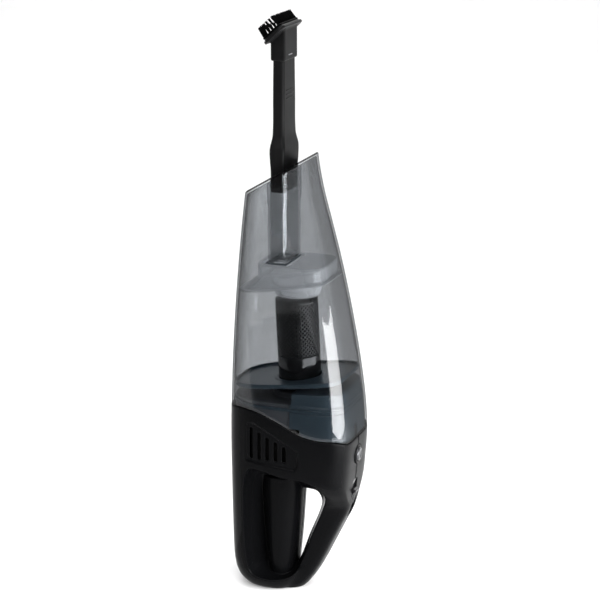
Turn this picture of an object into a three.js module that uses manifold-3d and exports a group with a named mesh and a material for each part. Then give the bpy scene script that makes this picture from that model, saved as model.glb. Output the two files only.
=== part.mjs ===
// A cordless handheld vacuum, standing on the foot of its handle with its inlet pointing up.
// Millimetres, +Z up. The origin is the middle of the foot. +X is the front, with the release
// button and the power switch, and -X is the belly. The inlet tools lie on the line X = 0, Y = 0.

import * as THREE from 'three';
import { mergeVertices } from 'three/addons/utils/BufferGeometryUtils.js';
import Module from 'manifold-3d';

const wasm = await Module();
wasm.setup();

// ---------------------------------------------------------------- driving dimensions

const GAP = 0.3; // clearance between neighbouring pieces

const BODY_HALF_WIDTH = 46; // widest half width, at the motor
const NOSE_NARROWING = 19; // half width lost from the shoulder to the mouth
const SHOULDER_Z = 170; // the sides start to narrow here
const MOUTH_Z = 401.8; // mouth plane on the line X = 0
const MOUTH_TILT = Math.atan(0.597); // the mouth rises towards the front
const BELLY_POWER = 2.8; // superellipse power of the round belly
const FRONT_POWER = 5; // and of the blockier front
const RING_POINTS = 24; // points round the main form
const HANDLE_POINTS = 16; // and round the handle, belly and column
const TOOL_POINTS = 20; // and round the tools

const SHELL_WALL = 2.4;
const CUP_WALL = 2;
const COLLAR_TOP_Z = 192.5;
const COLLAR_BOTTOM_Z = 150;

const MOTOR_X = 10; // the motor and fan axis
const FILTER = { x: 15.6, z: 205, tilt: -0.05, radius: 19.8, height: 77 };
const FILTER_TRAY = { z: 207.4, tilt: -0.12 }; // underside of the tray on the filter's axis
const DUCT = { inX: 14.8, inY: 39.2, outX: 18.4, outY: 42.8, bottomZ: 321 };

const TOOL = { bottomZ: 384, shoulderZ: 406, flareZ: 424, neckZ: 436, topZ: 521 };
const BRUSH = { bottomZ: 503, x: -2.6, z: 529.4, tilt: 0.74, length: 54, width: 25 };

const SWITCH = { x: 66.6, z: 95, lean: 0.27 };
const BUTTON = { z: 138.5, radius: 6.4, faceX: 72.2 };
const CHARGE_Z = 40; // the charging socket on the back of the belly

const VENT = { x: -17.5, pitch: 8.2, width: 3.3, bottomZ: 137.4, topZ: 167, topFall: 0.45 };

// ---------------------------------------------------------------- small geometry helpers

/** A smooth function through [position, value] pairs, flat beyond both ends. */
function smoothCurve(points) {
  const slope = points.map((point, i) => {
    const before = points[Math.max(i - 1, 0)];
    const after = points[Math.min(i + 1, points.length - 1)];
    return (after[1] - before[1]) / (after[0] - before[0]);
  });
  return (position) => {
    const p = THREE.MathUtils.clamp(position, points[0][0], points.at(-1)[0]);
    let i = 0;
    while (i < points.length - 2 && p > points[i + 1][0]) i += 1;
    const span = points[i + 1][0] - points[i][0];
    const t = (p - points[i][0]) / span;
    return (
      points[i][1] * (1 + 2 * t) * (1 - t) ** 2 +
      slope[i] * span * t * (1 - t) ** 2 +
      points[i + 1][1] * (3 - 2 * t) * t ** 2 -
      slope[i + 1] * span * t ** 2 * (1 - t)
    );
  };
}

/** Evenly spaced values from first to last. */
function steps(first, last, count) {
  return Array.from({ length: count + 1 }, (_, i) => first + ((last - first) * i) / count);
}

/** A closed geometry skinned over rings of points, all of one length, with flat end caps. */
function loft(rings) {
  const count = rings[0].length;
  const points = rings.flat();
  const faces = [];
  for (let r = 0; r < rings.length - 1; r += 1) {
    for (let i = 0; i < count; i += 1) {
      const a = r * count + i;
      const b = r * count + ((i + 1) % count);
      faces.push(a, b, b + count, a, b + count, a + count);
    }
  }
  for (const [ring, flip] of [[0, true], [rings.length - 1, false]]) {
    const middle = points.length;
    const sum = rings[ring].reduce((total, p) => total.clone().add(p), new THREE.Vector3());
    points.push(sum.divideScalar(count));
    for (let i = 0; i < count; i += 1) {
      const a = ring * count + i;
      const b = ring * count + ((i + 1) % count);
      faces.push(...(flip ? [b, a, middle] : [a, b, middle]));
    }
  }
  const geometry = new THREE.BufferGeometry().setFromPoints(points);
  geometry.setIndex(faces);
  return geometry;
}

/** One level ring of a superellipse, blunter towards +X when frontPower is higher. */
function ovalRing(z, back, front, half, backPower = 2, frontPower = backPower, count = RING_POINTS) {
  const middle = (back + front) / 2;
  const reach = (front - back) / 2;
  return Array.from({ length: count }, (_, i) => {
    const angle = (2 * Math.PI * (i + 0.5)) / count;
    const across = Math.cos(angle);
    const along = Math.sin(angle);
    const power = 2 / (across > 0 ? frontPower : backPower);
    return new THREE.Vector3(
      middle + reach * Math.sign(across) * Math.abs(across) ** power,
      half * Math.sign(along) * Math.abs(along) ** power,
      z,
    );
  });
}

/** The solid of a closed geometry. */
function solid(geometry) {
  const plain = geometry.clone();
  plain.deleteAttribute('normal');
  plain.deleteAttribute('uv');
  const merged = mergeVertices(plain, 1e-4);
  const mesh = new wasm.Mesh({
    numProp: 3,
    vertProperties: Float32Array.from(merged.attributes.position.array),
    triVerts: Uint32Array.from(merged.index.array),
  });
  return new wasm.Manifold(mesh);
}

/** The geometry of a solid. */
function geometryOf(shape) {
  const { vertProperties, triVerts } = shape.getMesh();
  const geometry = new THREE.BufferGeometry();
  geometry.setAttribute('position', new THREE.BufferAttribute(Float32Array.from(vertProperties), 3));
  geometry.setIndex(new THREE.BufferAttribute(Uint32Array.from(triVerts), 1));
  return geometry;
}

const join = (...shapes) => shapes.reduce((whole, shape) => whole.add(shape));
const cut = (shape, ...tools) => tools.reduce((rest, tool) => rest.subtract(tool), shape);

/** A box from its lowest to its highest corner. */
function block([x0, y0, z0], [x1, y1, z1]) {
  const box = new THREE.BoxGeometry(x1 - x0, y1 - y0, z1 - z0);
  return solid(box.translate((x0 + x1) / 2, (y0 + y1) / 2, (z0 + z1) / 2));
}

/** An upright round bar from z0 to z1, or a cone when topRadius differs. */
function bar(x, y, z0, z1, radius, sides = 20, topRadius = radius) {
  const shape = new THREE.CylinderGeometry(topRadius, radius, z1 - z0, sides);
  return solid(shape.rotateX(Math.PI / 2).translate(x, y, (z0 + z1) / 2));
}

/** A round bar along +Y. */
function crossBar(x, z, y0, y1, radius, sides = 10) {
  return solid(new THREE.CylinderGeometry(radius, radius, y1 - y0, sides).translate(x, (y0 + y1) / 2, z));
}

/** A round bar along +X. */
function frontBar(z, x0, x1, radius, sides = 20, frontRadius = radius) {
  const shape = new THREE.CylinderGeometry(frontRadius, radius, x1 - x0, sides);
  return solid(shape.rotateZ(-Math.PI / 2).translate((x0 + x1) / 2, 0, z));
}

/** A rectangle with round corners, centred, as a Shape. */
function roundedRectangle(width, height, radius) {
  const w = width / 2;
  const h = height / 2;
  const shape = new THREE.Shape();
  shape.moveTo(w, radius - h);
  shape.lineTo(w, h - radius);
  shape.absarc(w - radius, h - radius, radius, 0, Math.PI / 2);
  shape.absarc(radius - w, h - radius, radius, Math.PI / 2, Math.PI);
  shape.absarc(radius - w, radius - h, radius, Math.PI, 1.5 * Math.PI);
  shape.absarc(w - radius, radius - h, radius, 1.5 * Math.PI, 2 * Math.PI);
  return shape;
}

/** An upright prism over a shape drawn in X and Y. */
function prism(shape, z0, z1, curveSegments = shape.curves.length > 1 ? 3 : 20) {
  const options = { depth: z1 - z0, bevelEnabled: false, curveSegments };
  return solid(new THREE.ExtrudeGeometry(shape, options).translate(0, 0, z0));
}

/** A prism along Y over a shape drawn in X and Z. */
function sidePrism(shape, y0, y1, curveSegments = 4) {
  const options = { depth: y1 - y0, bevelEnabled: false, curveSegments };
  return solid(new THREE.ExtrudeGeometry(shape, options).rotateX(Math.PI / 2).translate(0, y1, 0));
}

const polygon = (points) => new THREE.Shape(points.map(([x, y]) => new THREE.Vector2(x, y)));
const turned = (shape, degrees) => shape.rotate([0, degrees, 0]);
const mirrored = (shape) => shape.mirror([0, 1, 0]);

// ---------------------------------------------------------------- the outer form

const bellyX = smoothCurve([
  [0, -24], [5, -34], [14, -41.5], [30, -45.4], [60, -46.8], [110, -47.8], [150, -48.3],
  [200, -47.4], [245, -45.7], [290, -43], [335, -39.4], [380, -34.8], [425, -28.5],
]);
const frontX = smoothCurve([
  [96, 68.6], [125, 71.4], [155, 73.2], [185, 71.7], [230, 65.9], [275, 58.1],
  [320, 48.7], [350, 41.3], [380, 33.8], [402, 29.6], [425, 26.8],
]);
const splitZ = smoothCurve([
  [-60, 181], [-42, 181.8], [-30, 184.2], [-18, 183.6], [-5, 180.8], [8, 175.8],
  [20, 169.8], [32, 164.6], [46, 162], [62, 161.2], [68, 159.4], [76, 154],
]);

function halfWidth(z) {
  const along = THREE.MathUtils.clamp((z - SHOULDER_Z) / (400 - SHOULDER_Z), 0, 1.2);
  return BODY_HALF_WIDTH - NOSE_NARROWING * along ** 1.25;
}

/** The vacuum's outer form between two heights, drawn in by inset. */
function hull(z0, z1, inset, count) {
  return solid(loft(steps(z0, z1, count).map((z) => ovalRing(
    z, bellyX(z) + inset, frontX(z) - inset, halfWidth(z) - inset, BELLY_POWER, FRONT_POWER,
  ))));
}

/** Everything in front of the mouth plane moved back by depth. */
function beyondMouth(depth) {
  const space = new THREE.BoxGeometry(300, 200, 200).translate(0, 0, 100 - depth);
  return solid(space.rotateY(-MOUTH_TILT).translate(0, 0, MOUTH_Z));
}

/** Everything under the line where the cup meets the body, moved up by rise. */
function underSplit(rise) {
  const edge = steps(-60, 84, 18).map((x) => [x, splitZ(x) + rise]);
  return sidePrism(polygon([[-60, -20], [84, -20], ...edge.reverse()]), -80, 80);
}

// ---------------------------------------------------------------- materials

function finish(color, roughness, metalness = 0) {
  return new THREE.MeshStandardMaterial({ color, roughness, metalness });
}

const MATERIALS = {
  black: finish(0x17181a, 0.38),
  clear: new THREE.MeshStandardMaterial({
    color: 0x8a8d90, roughness: 0.08, transparent: true, opacity: 0.45,
  }),
  navy: finish(0x2b343d, 0.42),
  mesh: finish(0x121314, 0.35),
  tool: finish(0x3b3b3d, 0.45),
  bristle: finish(0x0c0c0d, 0.6),
  gloss: finish(0x44474b, 0.15, 0.7),
  rubber: finish(0x1a1a1b, 0.8),
  steel: finish(0xa9abad, 0.3, 1),
  pleat: finish(0x2c2c2d, 0.9),
  cell: finish(0x2f5f8c, 0.4),
  board: finish(0x1f5a3a, 0.5),
  copper: finish(0xb5402c, 0.5),
};

const vacuum = new THREE.Group();

/** Adds a named piece, made of a solid or a geometry, to a group. */
function piece(name, shape, material, parent = vacuum) {
  const geometry = shape.isBufferGeometry ? shape : geometryOf(shape);
  const mesh = new THREE.Mesh(geometry, MATERIALS[material]);
  mesh.name = name;
  parent.add(mesh);
}

// ---------------------------------------------------------------- body shells

const columnReach = smoothCurve([[4, 12], [30, 14.5], [60, 17.5], [100, 20.5]]);
const columnHalf = smoothCurve([[4, 16], [28, 21], [100, 21.6]]);
const bellyFront = smoothCurve([[0, 8], [60, 20], [85, 28], [104, 44], [122, 52]]);
const bellyHalf = smoothCurve([
  [0, 20], [5, 27], [14, 32.5], [30, 37], [60, 41], [100, 44], [122, 44.7],
]);
const handleBack = smoothCurve([[0, -6], [16, 4], [49, 22], [77, 30], [92, 0], [125, -20]]);
const handleFront = smoothCurve([
  [0, 21], [4.4, 25.3], [15.9, 33.4], [30.3, 41.4], [48.9, 50.4],
  [65.2, 58.3], [84.8, 67.4], [100, 70.2], [125, 71.4],
]);
const handleHalf = smoothCurve([
  [0, 14], [8, 16], [49, 17], [77, 18.2], [88, 21], [97, 28], [108, 38], [118, 44.6], [126, 46],
]);
const handlePower = smoothCurve([[0, 2.4], [75, 2.7], [125, FRONT_POWER]]);
const footFront = smoothCurve([[0, 14], [8, 20], [22, 25]]);
const footHalf = smoothCurve([[0, 18], [5, 25], [14, 31], [30, 36]]);

const RIM = [
  [-22, 18], [-26, 40], [-27, 75], [-26.5, 108], [-21, 125], [-8, 126.5], [12, 122.3],
  [34, 120.6], [47.5, 115], [52, 103], [47, 84], [37.3, 58.7], [27, 30], [16, 15], [-4, 12],
];
const HOLE = [
  [-10, 26], [-12, 45], [-13, 70], [-12, 90], [-6, 97], [4, 99], [14, 99],
  [26, 99], [34.5, 97], [38.7, 88.5], [35.5, 76], [27.3, 56], [19, 33], [12, 20], [0, 19],
];
const HOLE_HALF = 4; // the hand hole keeps its size this far from the middle
const RIM_HALF = 42; // and opens out to its rim here

/** The hand hole, which widens into a scoop on each side. */
function handOpening() {
  const outline = (share) => {
    const points = HOLE.map(([x, z], i) => new THREE.Vector3(
      THREE.MathUtils.lerp(x, RIM[i][0], share), 0, THREE.MathUtils.lerp(z, RIM[i][1], share),
    ));
    return new THREE.CatmullRomCurve3(points, true, 'centripetal').getPoints(22).slice(0, -1);
  };
  const depths = [60, RIM_HALF, 33, 24, 15, 9, HOLE_HALF];
  const ring = (y) => {
    const along = THREE.MathUtils.clamp((Math.abs(y) - HOLE_HALF) / (RIM_HALF - HOLE_HALF), 0, 1);
    return outline(1 - (1 - along) ** 2).map((p) => p.setY(y));
  };
  return solid(loft([...depths.map((y) => -y), ...depths.toReversed()].map(ring)));
}

/** The solid outer form below the split line, with the hand hole and the battery column. */
function bodyForm() {
  const belly = solid(loft([0, 2.5, 7, 14, 24, 45, 75, 100, 124].map((z) => ovalRing(
    z, bellyX(z), bellyFront(z), bellyHalf(z), BELLY_POWER, BELLY_POWER, HANDLE_POINTS,
  ))));
  const handle = solid(loft([0, 4, 16, 34, 60, 77, 88, 97, 106, 116, 126].map((z) => ovalRing(
    z, handleBack(z), handleFront(z), handleHalf(z), handlePower(z), handlePower(z), HANDLE_POINTS,
  ))));
  const foot = solid(loft([0, 2, 5, 9, 14, 22].map((z) => ovalRing(
    z, bellyX(z), footFront(z), footHalf(z), 2.4, 2.4, HANDLE_POINTS,
  ))));
  const core = block([-30, -16, 92], [40, 16, 128]);
  const column = solid(loft([3, 30, 60, 112].map((z) => ovalRing(
    z, -columnReach(z), columnReach(z), columnHalf(z), 2.3, 2.3, HANDLE_POINTS,
  ))));
  const above = hull(122, 200, 0, 4);
  return join(cut(join(above, belly, handle, foot, core), handOpening()), column);
}

/** Vent slots and their shallow pocket, on the -Y side. */
function vents() {
  const pocket = polygon([
    [-22.5, 135.2], [26, 131.4], [29, 137], [27.6, 149.4], [3, 163], [-15, 171.6], [-21.6, 170],
  ]);
  const slots = steps(0, 4, 4).map((i) => {
    const x = VENT.x + i * VENT.pitch;
    const top = VENT.topZ - i * VENT.pitch * VENT.topFall;
    const slot = roundedRectangle(VENT.width, top - VENT.bottomZ, VENT.width / 2 - 0.05);
    return sidePrism(slot, -60, -38, 2).translate([x, 0, (top + VENT.bottomZ) / 2]);
  });
  const recess = sidePrism(pocket, -60, -30).subtract(hull(120, 185, 1.2, 3));
  return join(recess, ...slots);
}

const FOOT_PAD = { x: -2, width: 40, depth: 30, top: 2.2, standsProud: 0.4 };

/** The foot pad's outline, grown by extra. */
function footShape(extra) {
  const { x, width, depth } = FOOT_PAD;
  const shape = new THREE.Shape();
  return shape.absellipse(x, 0, width / 2 + extra, depth / 2 + extra, 0, 2 * Math.PI, false, 0);
}

const SCREWS = [ // X, Z and the seat of the head along Y
  [39, 52, 11], [19, 14, 9], [47, 110, 24], [-34, 119, 28], [-31, 12, 16],
];
const SCREW = { head: 3, headHeight: 2.4, shank: 1.6, tipY: -9 };

function screwHole([x, z, seat]) {
  return join(
    crossBar(x, z, SCREW.tipY - GAP, seat + 1, SCREW.shank + GAP),
    crossBar(x, z, seat - GAP, 60, SCREW.head + GAP),
  );
}

/** The switch's own frame: +Z up the handle and +X out of it. */
function inSwitchFrame(shape) {
  return turned(shape, THREE.MathUtils.radToDeg(SWITCH.lean)).translate([SWITCH.x, 0, SWITCH.z]);
}

function makeBody() {
  const motorRoom = hull(127, 230, SHELL_WALL, 4);
  const motorFoot = block([-22, -19.5, 117], [58, 19.5, 130]);
  const cellRoom = prism(roundedRectangle(21.5, 38.4, 9), 34, 107);
  const wireWay = bar(4, 0, 100, 122, 4, 12);
  const bellyRoom = solid(loft([12, 24, 60, 106].map((z) => ovalRing(
    z, bellyX(z) + 3, -30, bellyHalf(z) - 16, 2.6, 2.6, 12,
  ))));
  const bellyWay = block([-34, -3, 92], [0, 3, 100]);
  const switchRoom = inSwitchFrame(join(
    block([-16, -8, -15], [-4.6, 8, 15]),
    block([-3.6, -5.6, -18.5], [12, 5.6, 18.5]),
    block([-6, -2.4, -9], [0, 2.4, 12]),
  ));
  const handleRows = [[26, 23, 35], [49, 29.5, 46.5], [66, 36.5, 54]];
  const handleRoom = solid(loft(handleRows.map(([z, back, front]) => ovalRing(
    z, back, front, 11, 3, 3, 12,
  ))));
  const switchWay = block([46, -3, 60], [50, 3, 122]);
  const buttonHole = frontBar(BUTTON.z, 60, 90, 9.3);
  const jackHole = backBar(-56, -36, 5 + GAP);
  const footRoom = prism(footShape(GAP), -1, FOOT_PAD.top + GAP);
  piece('foot_pad', prism(footShape(0), 0, FOOT_PAD.top), 'rubber');
  const rooms = [
    footRoom, motorRoom, motorFoot, cellRoom, wireWay, bellyRoom, bellyWay,
    switchRoom, handleRoom, switchWay, buttonHole, jackHole,
  ];
  const openings = [vents(), mirrored(vents()), ...SCREWS.map(screwHole)];
  const shell = cut(bodyForm(), ...rooms, ...openings).intersect(underSplit(0));
  const bottom = FOOT_PAD.standsProud;
  const leftSide = block([-90, -90, bottom], [120, -GAP / 2, 200]);
  const rightSide = block([-90, GAP / 2, bottom], [120, 90, 200]);
  piece('body_shell_left', shell.intersect(leftSide), 'black');
  piece('body_shell_right', shell.intersect(rightSide), 'black');

  SCREWS.forEach(([x, z, seat], i) => {
    const head = crossBar(x, z, seat, seat + SCREW.headHeight, SCREW.head);
    const shank = crossBar(x, z, SCREW.tipY, seat + 0.5, SCREW.shank, 10);
    const slot = block([x - 2, seat + 1.4, z - 0.4], [x + 2, seat + 4, z + 0.4]);
    const cross = block([x - 0.4, seat + 1.4, z - 2], [x + 0.4, seat + 4, z + 2]);
    piece(`body_screw_${i + 1}`, cut(join(head, shank), slot, cross), 'steel');
  });
}

// ---------------------------------------------------------------- collar, filter base and seals

/** A closed band around the outer form, between two insets. */
function hullBand(z0, z1, outer, inner, count) {
  return cut(hull(z0, z1, outer, count), hull(z0 - 5, z1 + 5, inner, count));
}

function makeCollar() {
  const inset = SHELL_WALL + GAP;
  const outside = hull(COLLAR_BOTTOM_Z, COLLAR_TOP_Z, inset, 2);
  const inside = hull(COLLAR_BOTTOM_Z - 5, COLLAR_TOP_Z - 3, inset + 3.2, 2);
  const groove = hullBand(186.2, 189.4, -5, inset + 1.6, 1);
  const inlet = bar(MOTOR_X, 0, 180, 200, 15, 20);
  const shoulder = polygon([
    [21, 188], [21, 203], [59, 204.8], [64.5, 203.6], [68.4, 200], [70.6, 194], [71, 188],
  ]);
  const frontBlock = hull(186, 208, inset + 0.8, 2).intersect(sidePrism(shoulder, -60, 60));
  const trayRoom = bar(FILTER.x, 0, 198.6, 220, 24.6, 20);
  const latchSlot = block([56.8, -4, 130], [74, 4, 168]);
  const neck = join(bar(FILTER.x, 0, COLLAR_TOP_Z - 1, 198.6, 25, 20), bar(FILTER.x, 0, 190, 192, 20, 20));
  const neckBore = bar(FILTER.x, 0, 180, 210, 17.6, 20);
  const ventWindows = block([-22, -60, 149], [30, 60, 170]);
  const whole = join(outside, cut(frontBlock, trayRoom), neck);
  piece('front_collar', cut(whole, inside, groove, inlet, latchSlot, neckBore, ventWindows), 'navy');
  piece('cup_seal', hullBand(186.5, 189.1, inset - 0.2, inset + 1.3, 1), 'rubber');
}

/** Turns a solid made upright at the origin into the filter's leaning frame. */
function inFilterFrame(shape) {
  return turned(shape, THREE.MathUtils.radToDeg(FILTER.tilt)).translate([FILTER.x, 0, FILTER.z]);
}

/** An upright ring at the origin. */
function ring(z0, z1, outer, inner, sides = 28) {
  return bar(0, 0, z0, z1, outer, sides).subtract(bar(0, 0, z0 - 1, z1 + 1, inner, sides));
}

function makeFilter() {
  const slab = (from, to) => {
    const level = block([-80, -60, from], [80, 60, to]);
    return turned(level, THREE.MathUtils.radToDeg(FILTER_TRAY.tilt)).translate([FILTER.x, 0, FILTER_TRAY.z]);
  };
  const plate = hull(190, 225, 3.2, 2).intersect(slab(0, 2));
  const rim = cut(hull(190, 225, 3.2, 2), hull(188, 227, 5.4, 2)).intersect(slab(1.8, 4.1));
  const boss = inFilterFrame(bar(0, 0, -4, 4, FILTER.radius + 3.6, 20));
  const bore = inFilterFrame(bar(0, 0, -20, 20, FILTER.radius - 2.6, 20));
  const seat = inFilterFrame(bar(0, 0, -0.8, 20, FILTER.radius + 2 * GAP, 20));
  piece('filter_tray', cut(join(plate, rim, boss), bore, seat), 'navy');

  const top = FILTER.height;
  const windows = [];
  for (let i = 0; i < 8; i += 1) {
    for (let row = 0; row < 2; row += 1) {
      const window = block([0, -5.4, 20.5 + row * 27], [40, 5.4, 44.5 + row * 27]);
      windows.push(window.rotate([0, 0, i * 45]));
    }
  }
  const cage = cut(ring(-0.4, top, FILTER.radius, FILTER.radius - 1.8, 20), ...windows);
  piece('filter_cage', inFilterFrame(cage), 'mesh');
  const cap = bar(0, 0, top + GAP, top + 2.2, FILTER.radius, 20, FILTER.radius - 1.2);
  const plug = bar(0, 0, top - 3, top + 1, FILTER.radius - 2.2, 20);
  piece('filter_cap', inFilterFrame(join(cap, plug)), 'mesh');
  const pleats = new THREE.Shape(steps(0, 59, 59).map((i) => {
    const radius = i % 2 ? 12.5 : 17;
    const angle = (i / 60) * 2 * Math.PI;
    return new THREE.Vector2(radius * Math.cos(angle), radius * Math.sin(angle));
  }));
  const element = prism(pleats, 2, top - 3.6).subtract(bar(0, 0, 0, top, 10.5, 20));
  piece('filter_element', inFilterFrame(element), 'pleat');
  piece('filter_seal', inFilterFrame(ring(0, 1.7, FILTER.radius - 2.2, 11, 20)), 'rubber');
}

// ---------------------------------------------------------------- motor and fan

function makeMotor() {
  const canRoom = join(bar(MOTOR_X, 0, 122, 158, 17.4, 20), bar(MOTOR_X, 0, 150, 170, 4.5, 16));
  piece('motor_can', cut(bar(MOTOR_X, 0, 124, 160, 19, 20), canRoom), 'steel');
  const cap = join(bar(MOTOR_X, 0, 120, 123.7, 19, 20), bar(MOTOR_X, 0, 122, 126, 17, 20));
  piece('motor_end_cap', cut(cap, bar(MOTOR_X, 0, 110, 130, 2.4, 12)), 'black');
  const mount = cut(bar(MOTOR_X, 0, 148, 159, 23.5, 20), bar(MOTOR_X, 0, 140, 170, 19 + GAP, 20));
  piece('motor_mount', mount, 'rubber');
  const shaft = join(bar(MOTOR_X, 0, 117.4, 182, 1.6, 12), bar(MOTOR_X, 0, 128, 154, 14, 12));
  piece('rotor', shaft, 'steel');

  const hub = join(bar(MOTOR_X, 0, 170, 171.4, 27.5, 20), bar(MOTOR_X, 0, 171, 181, 6, 20));
  const blades = steps(0, 8, 8).map((i) => {
    const blade = block([6, -0.7, 171.2], [27, 0.7, 178.6]).rotate([0, 0, -28]).translate([1.5, 3, 0]);
    return blade.rotate([0, 0, i * 40]).translate([MOTOR_X, 0, 0]);
  });
  piece('impeller', cut(join(hub, ...blades), bar(MOTOR_X, 0, 160, 190, 1.6 + GAP, 12)), 'gloss');
  const outside = bar(MOTOR_X, 0, 161, 187.5, 33, 20);
  const inside = join(bar(MOTOR_X, 0, 168.2, 182.4, 30.5, 20), bar(MOTOR_X, 0, 180, 190, 14, 20));
  const outlets = steps(0, 5, 5).map((i) => {
    const outlet = block([24, -6, 169.5], [40, 6, 180]).rotate([0, 0, i * 60 + 30]);
    return outlet.translate([MOTOR_X, 0, 0]);
  });
  const house = cut(outside, inside, bar(MOTOR_X, 0, 150, 175, 3.4, 16), ...outlets);
  piece('fan_housing', house, 'black');
  for (const [side, name] of [[-1, 'left'], [1, 'right']]) {
    const pad = block([-18, -1.3, 136], [20, 1.3, 166]).translate([0, side * 38.4, 0]);
    piece(`exhaust_foam_${name}`, pad, 'rubber');
  }
}

// ---------------------------------------------------------------- battery, board and wires

function wire(points, radius) {
  const path = new THREE.CatmullRomCurve3(points.map((p) => new THREE.Vector3(...p)));
  const section = new THREE.Shape().absarc(0, 0, radius, 0, 2 * Math.PI);
  const options = { steps: 10, bevelEnabled: false, extrudePath: path, curveSegments: 4 };
  return solid(new THREE.ExtrudeGeometry(section, options));
}

/** A round bar along X on the charging socket's axis. */
function backBar(x0, x1, radius) {
  return frontBar(0, x0, x1, radius, 20).translate([0, 0, CHARGE_Z]);
}

function makeBattery() {
  for (const [side, name] of [[-1, 'left'], [1, 'right']]) {
    piece(`cell_${name}`, bar(0, side * 9.45, 38, 102, 9.1, 24), 'cell');
  }
  const tray = (z0, z1) => prism(roundedRectangle(20.4, 37.6, 8.6), z0, z1);
  piece('cell_tray_lower', tray(35, 37.6), 'black');
  piece('cell_tray_upper', cut(tray(102.4, 105), bar(4, 0, 90, 110, 3.4, 12)), 'black');
  piece('circuit_board', block([36, -16, 128], [37.6, 16, 158]), 'board');
  piece('charge_socket', cut(backBar(-45.9, -36.9, 5), backBar(-48, -39.4, 2.8)), 'rubber');
  const toBoard = [
    [4, 0, 104], [4, 0, 111], [4.4, -1, 117.6], [8, -6, 118.8], [14, -9, 118.4],
    [25, -9, 118.3], [31, -7.5, 120], [34.4, -4, 127], [34.6, -4, 135],
  ];
  piece('battery_wire', wire(toBoard, 1), 'copper');
  const toCells = [
    [-35.6, 0, 40], [-34, 0, 41.4], [-32.8, 0, 48], [-33, 0, 88],
    [-31.6, 0, 94.4], [-24, 0, 96.4], [-12, 0, 96.4],
  ];
  piece('charge_wire', wire(toCells, 1), 'copper');
}

// ---------------------------------------------------------------- power switch and release button

function makeSwitch() {
  const plate = block([-3.2, -5.2, -18.1], [-1.6, 5.2, 18.1]);
  const slot = block([-6, -2, -7.5], [2, 2, 10.5]);
  piece('switch_plate', inSwitchFrame(plate.subtract(slot)), 'gloss');
  const ribs = steps(-4.8, 4.8, 3).map((z) => block([1.6, -4, z - 0.45], [2.6, 4, z + 0.45]));
  const cap = solid(loft([[-7, 0.4], [-5.5, 1.8], [5.5, 1.8], [8.5, 3.4], [9.5, 0.4]].map(([z, x]) => [
    [-1.2, -4.4], [x, -4], [x, 4], [-1.2, 4.4],
  ].map(([px, py]) => new THREE.Vector3(px, py, z)))));
  const stem = block([-5.2, -1.6, -3], [0, 1.6, 3]);
  piece('switch_knob', inSwitchFrame(join(cap, ...ribs, stem)), 'black');
  piece('switch_body', inSwitchFrame(block([-15, -6.6, -13], [-5.6, 6.6, 13])), 'rubber');
}

function makeButton() {
  const bezel = cut(
    frontBar(BUTTON.z, 70, BUTTON.faceX + 1, 9, 20),
    frontBar(BUTTON.z, 60, 90, BUTTON.radius + GAP, 20),
  );
  piece('button_bezel', bezel, 'gloss');
  const stem = frontBar(BUTTON.z, 64, BUTTON.faceX + 1.2, BUTTON.radius, 20);
  const dome = frontBar(BUTTON.z, BUTTON.faceX + 1, BUTTON.faceX + 2.8, BUTTON.radius, 20, BUTTON.radius - 2);
  piece('release_button', join(stem, dome), 'gloss');
  const arm = block([60.8, -3.4, 133], [63.6, 3.4, 163]);
  const nose = sidePrism(polygon([[63, 156], [70.2, 162], [63, 163]]), -3.4, 3.4);
  piece('latch_hook', join(arm, nose), 'gloss');
  const turns = 4;
  const coil = steps(0, turns * 10, turns * 10).map((i) => {
    const angle = (i / 10) * 2 * Math.PI;
    return [49 + (i / (turns * 10)) * 10.8, 3.6 * Math.cos(angle), BUTTON.z + 3.6 * Math.sin(angle)];
  });
  const path = new THREE.CatmullRomCurve3(coil.map((p) => new THREE.Vector3(...p)));
  const section = new THREE.Shape().absarc(0, 0, 0.5, 0, 2 * Math.PI);
  const options = { steps: turns * 9, bevelEnabled: false, extrudePath: path, curveSegments: 3 };
  piece('button_spring', solid(new THREE.ExtrudeGeometry(section, options)), 'steel');
  const seat = block([41, -8, 130], [50, 8, 147]).subtract(frontBar(BUTTON.z, 45, 60, 4.8, 16));
  piece('spring_seat', seat, 'black');
}

// ---------------------------------------------------------------- dust cup

function makeCup() {
  const outside = hull(150, 426, 0, 8);
  const inside = cut(hull(150 - 34.5, 426, CUP_WALL, 9), beyondMouth(2.6));
  const opening = prism(roundedRectangle(DUCT.inX, DUCT.inY, 4), 380, 430);
  piece('dust_cup', cut(outside, beyondMouth(0), inside, opening, underSplit(GAP)), 'clear');

  const tube = cut(
    prism(roundedRectangle(DUCT.outX, DUCT.outY, 5), DUCT.bottomZ, 430),
    prism(roundedRectangle(DUCT.inX, DUCT.inY, 4), DUCT.bottomZ - 5, 440),
    beyondMouth(2.6 + GAP),
  );
  const collar = cut(
    prism(roundedRectangle(DUCT.outX + 1.6, DUCT.outY + 1.6, 5.6), 349, 352),
    prism(roundedRectangle(DUCT.inX, DUCT.inY, 4), 340, 360),
  );
  piece('inlet_duct', join(tube, collar), 'clear');
}

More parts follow.
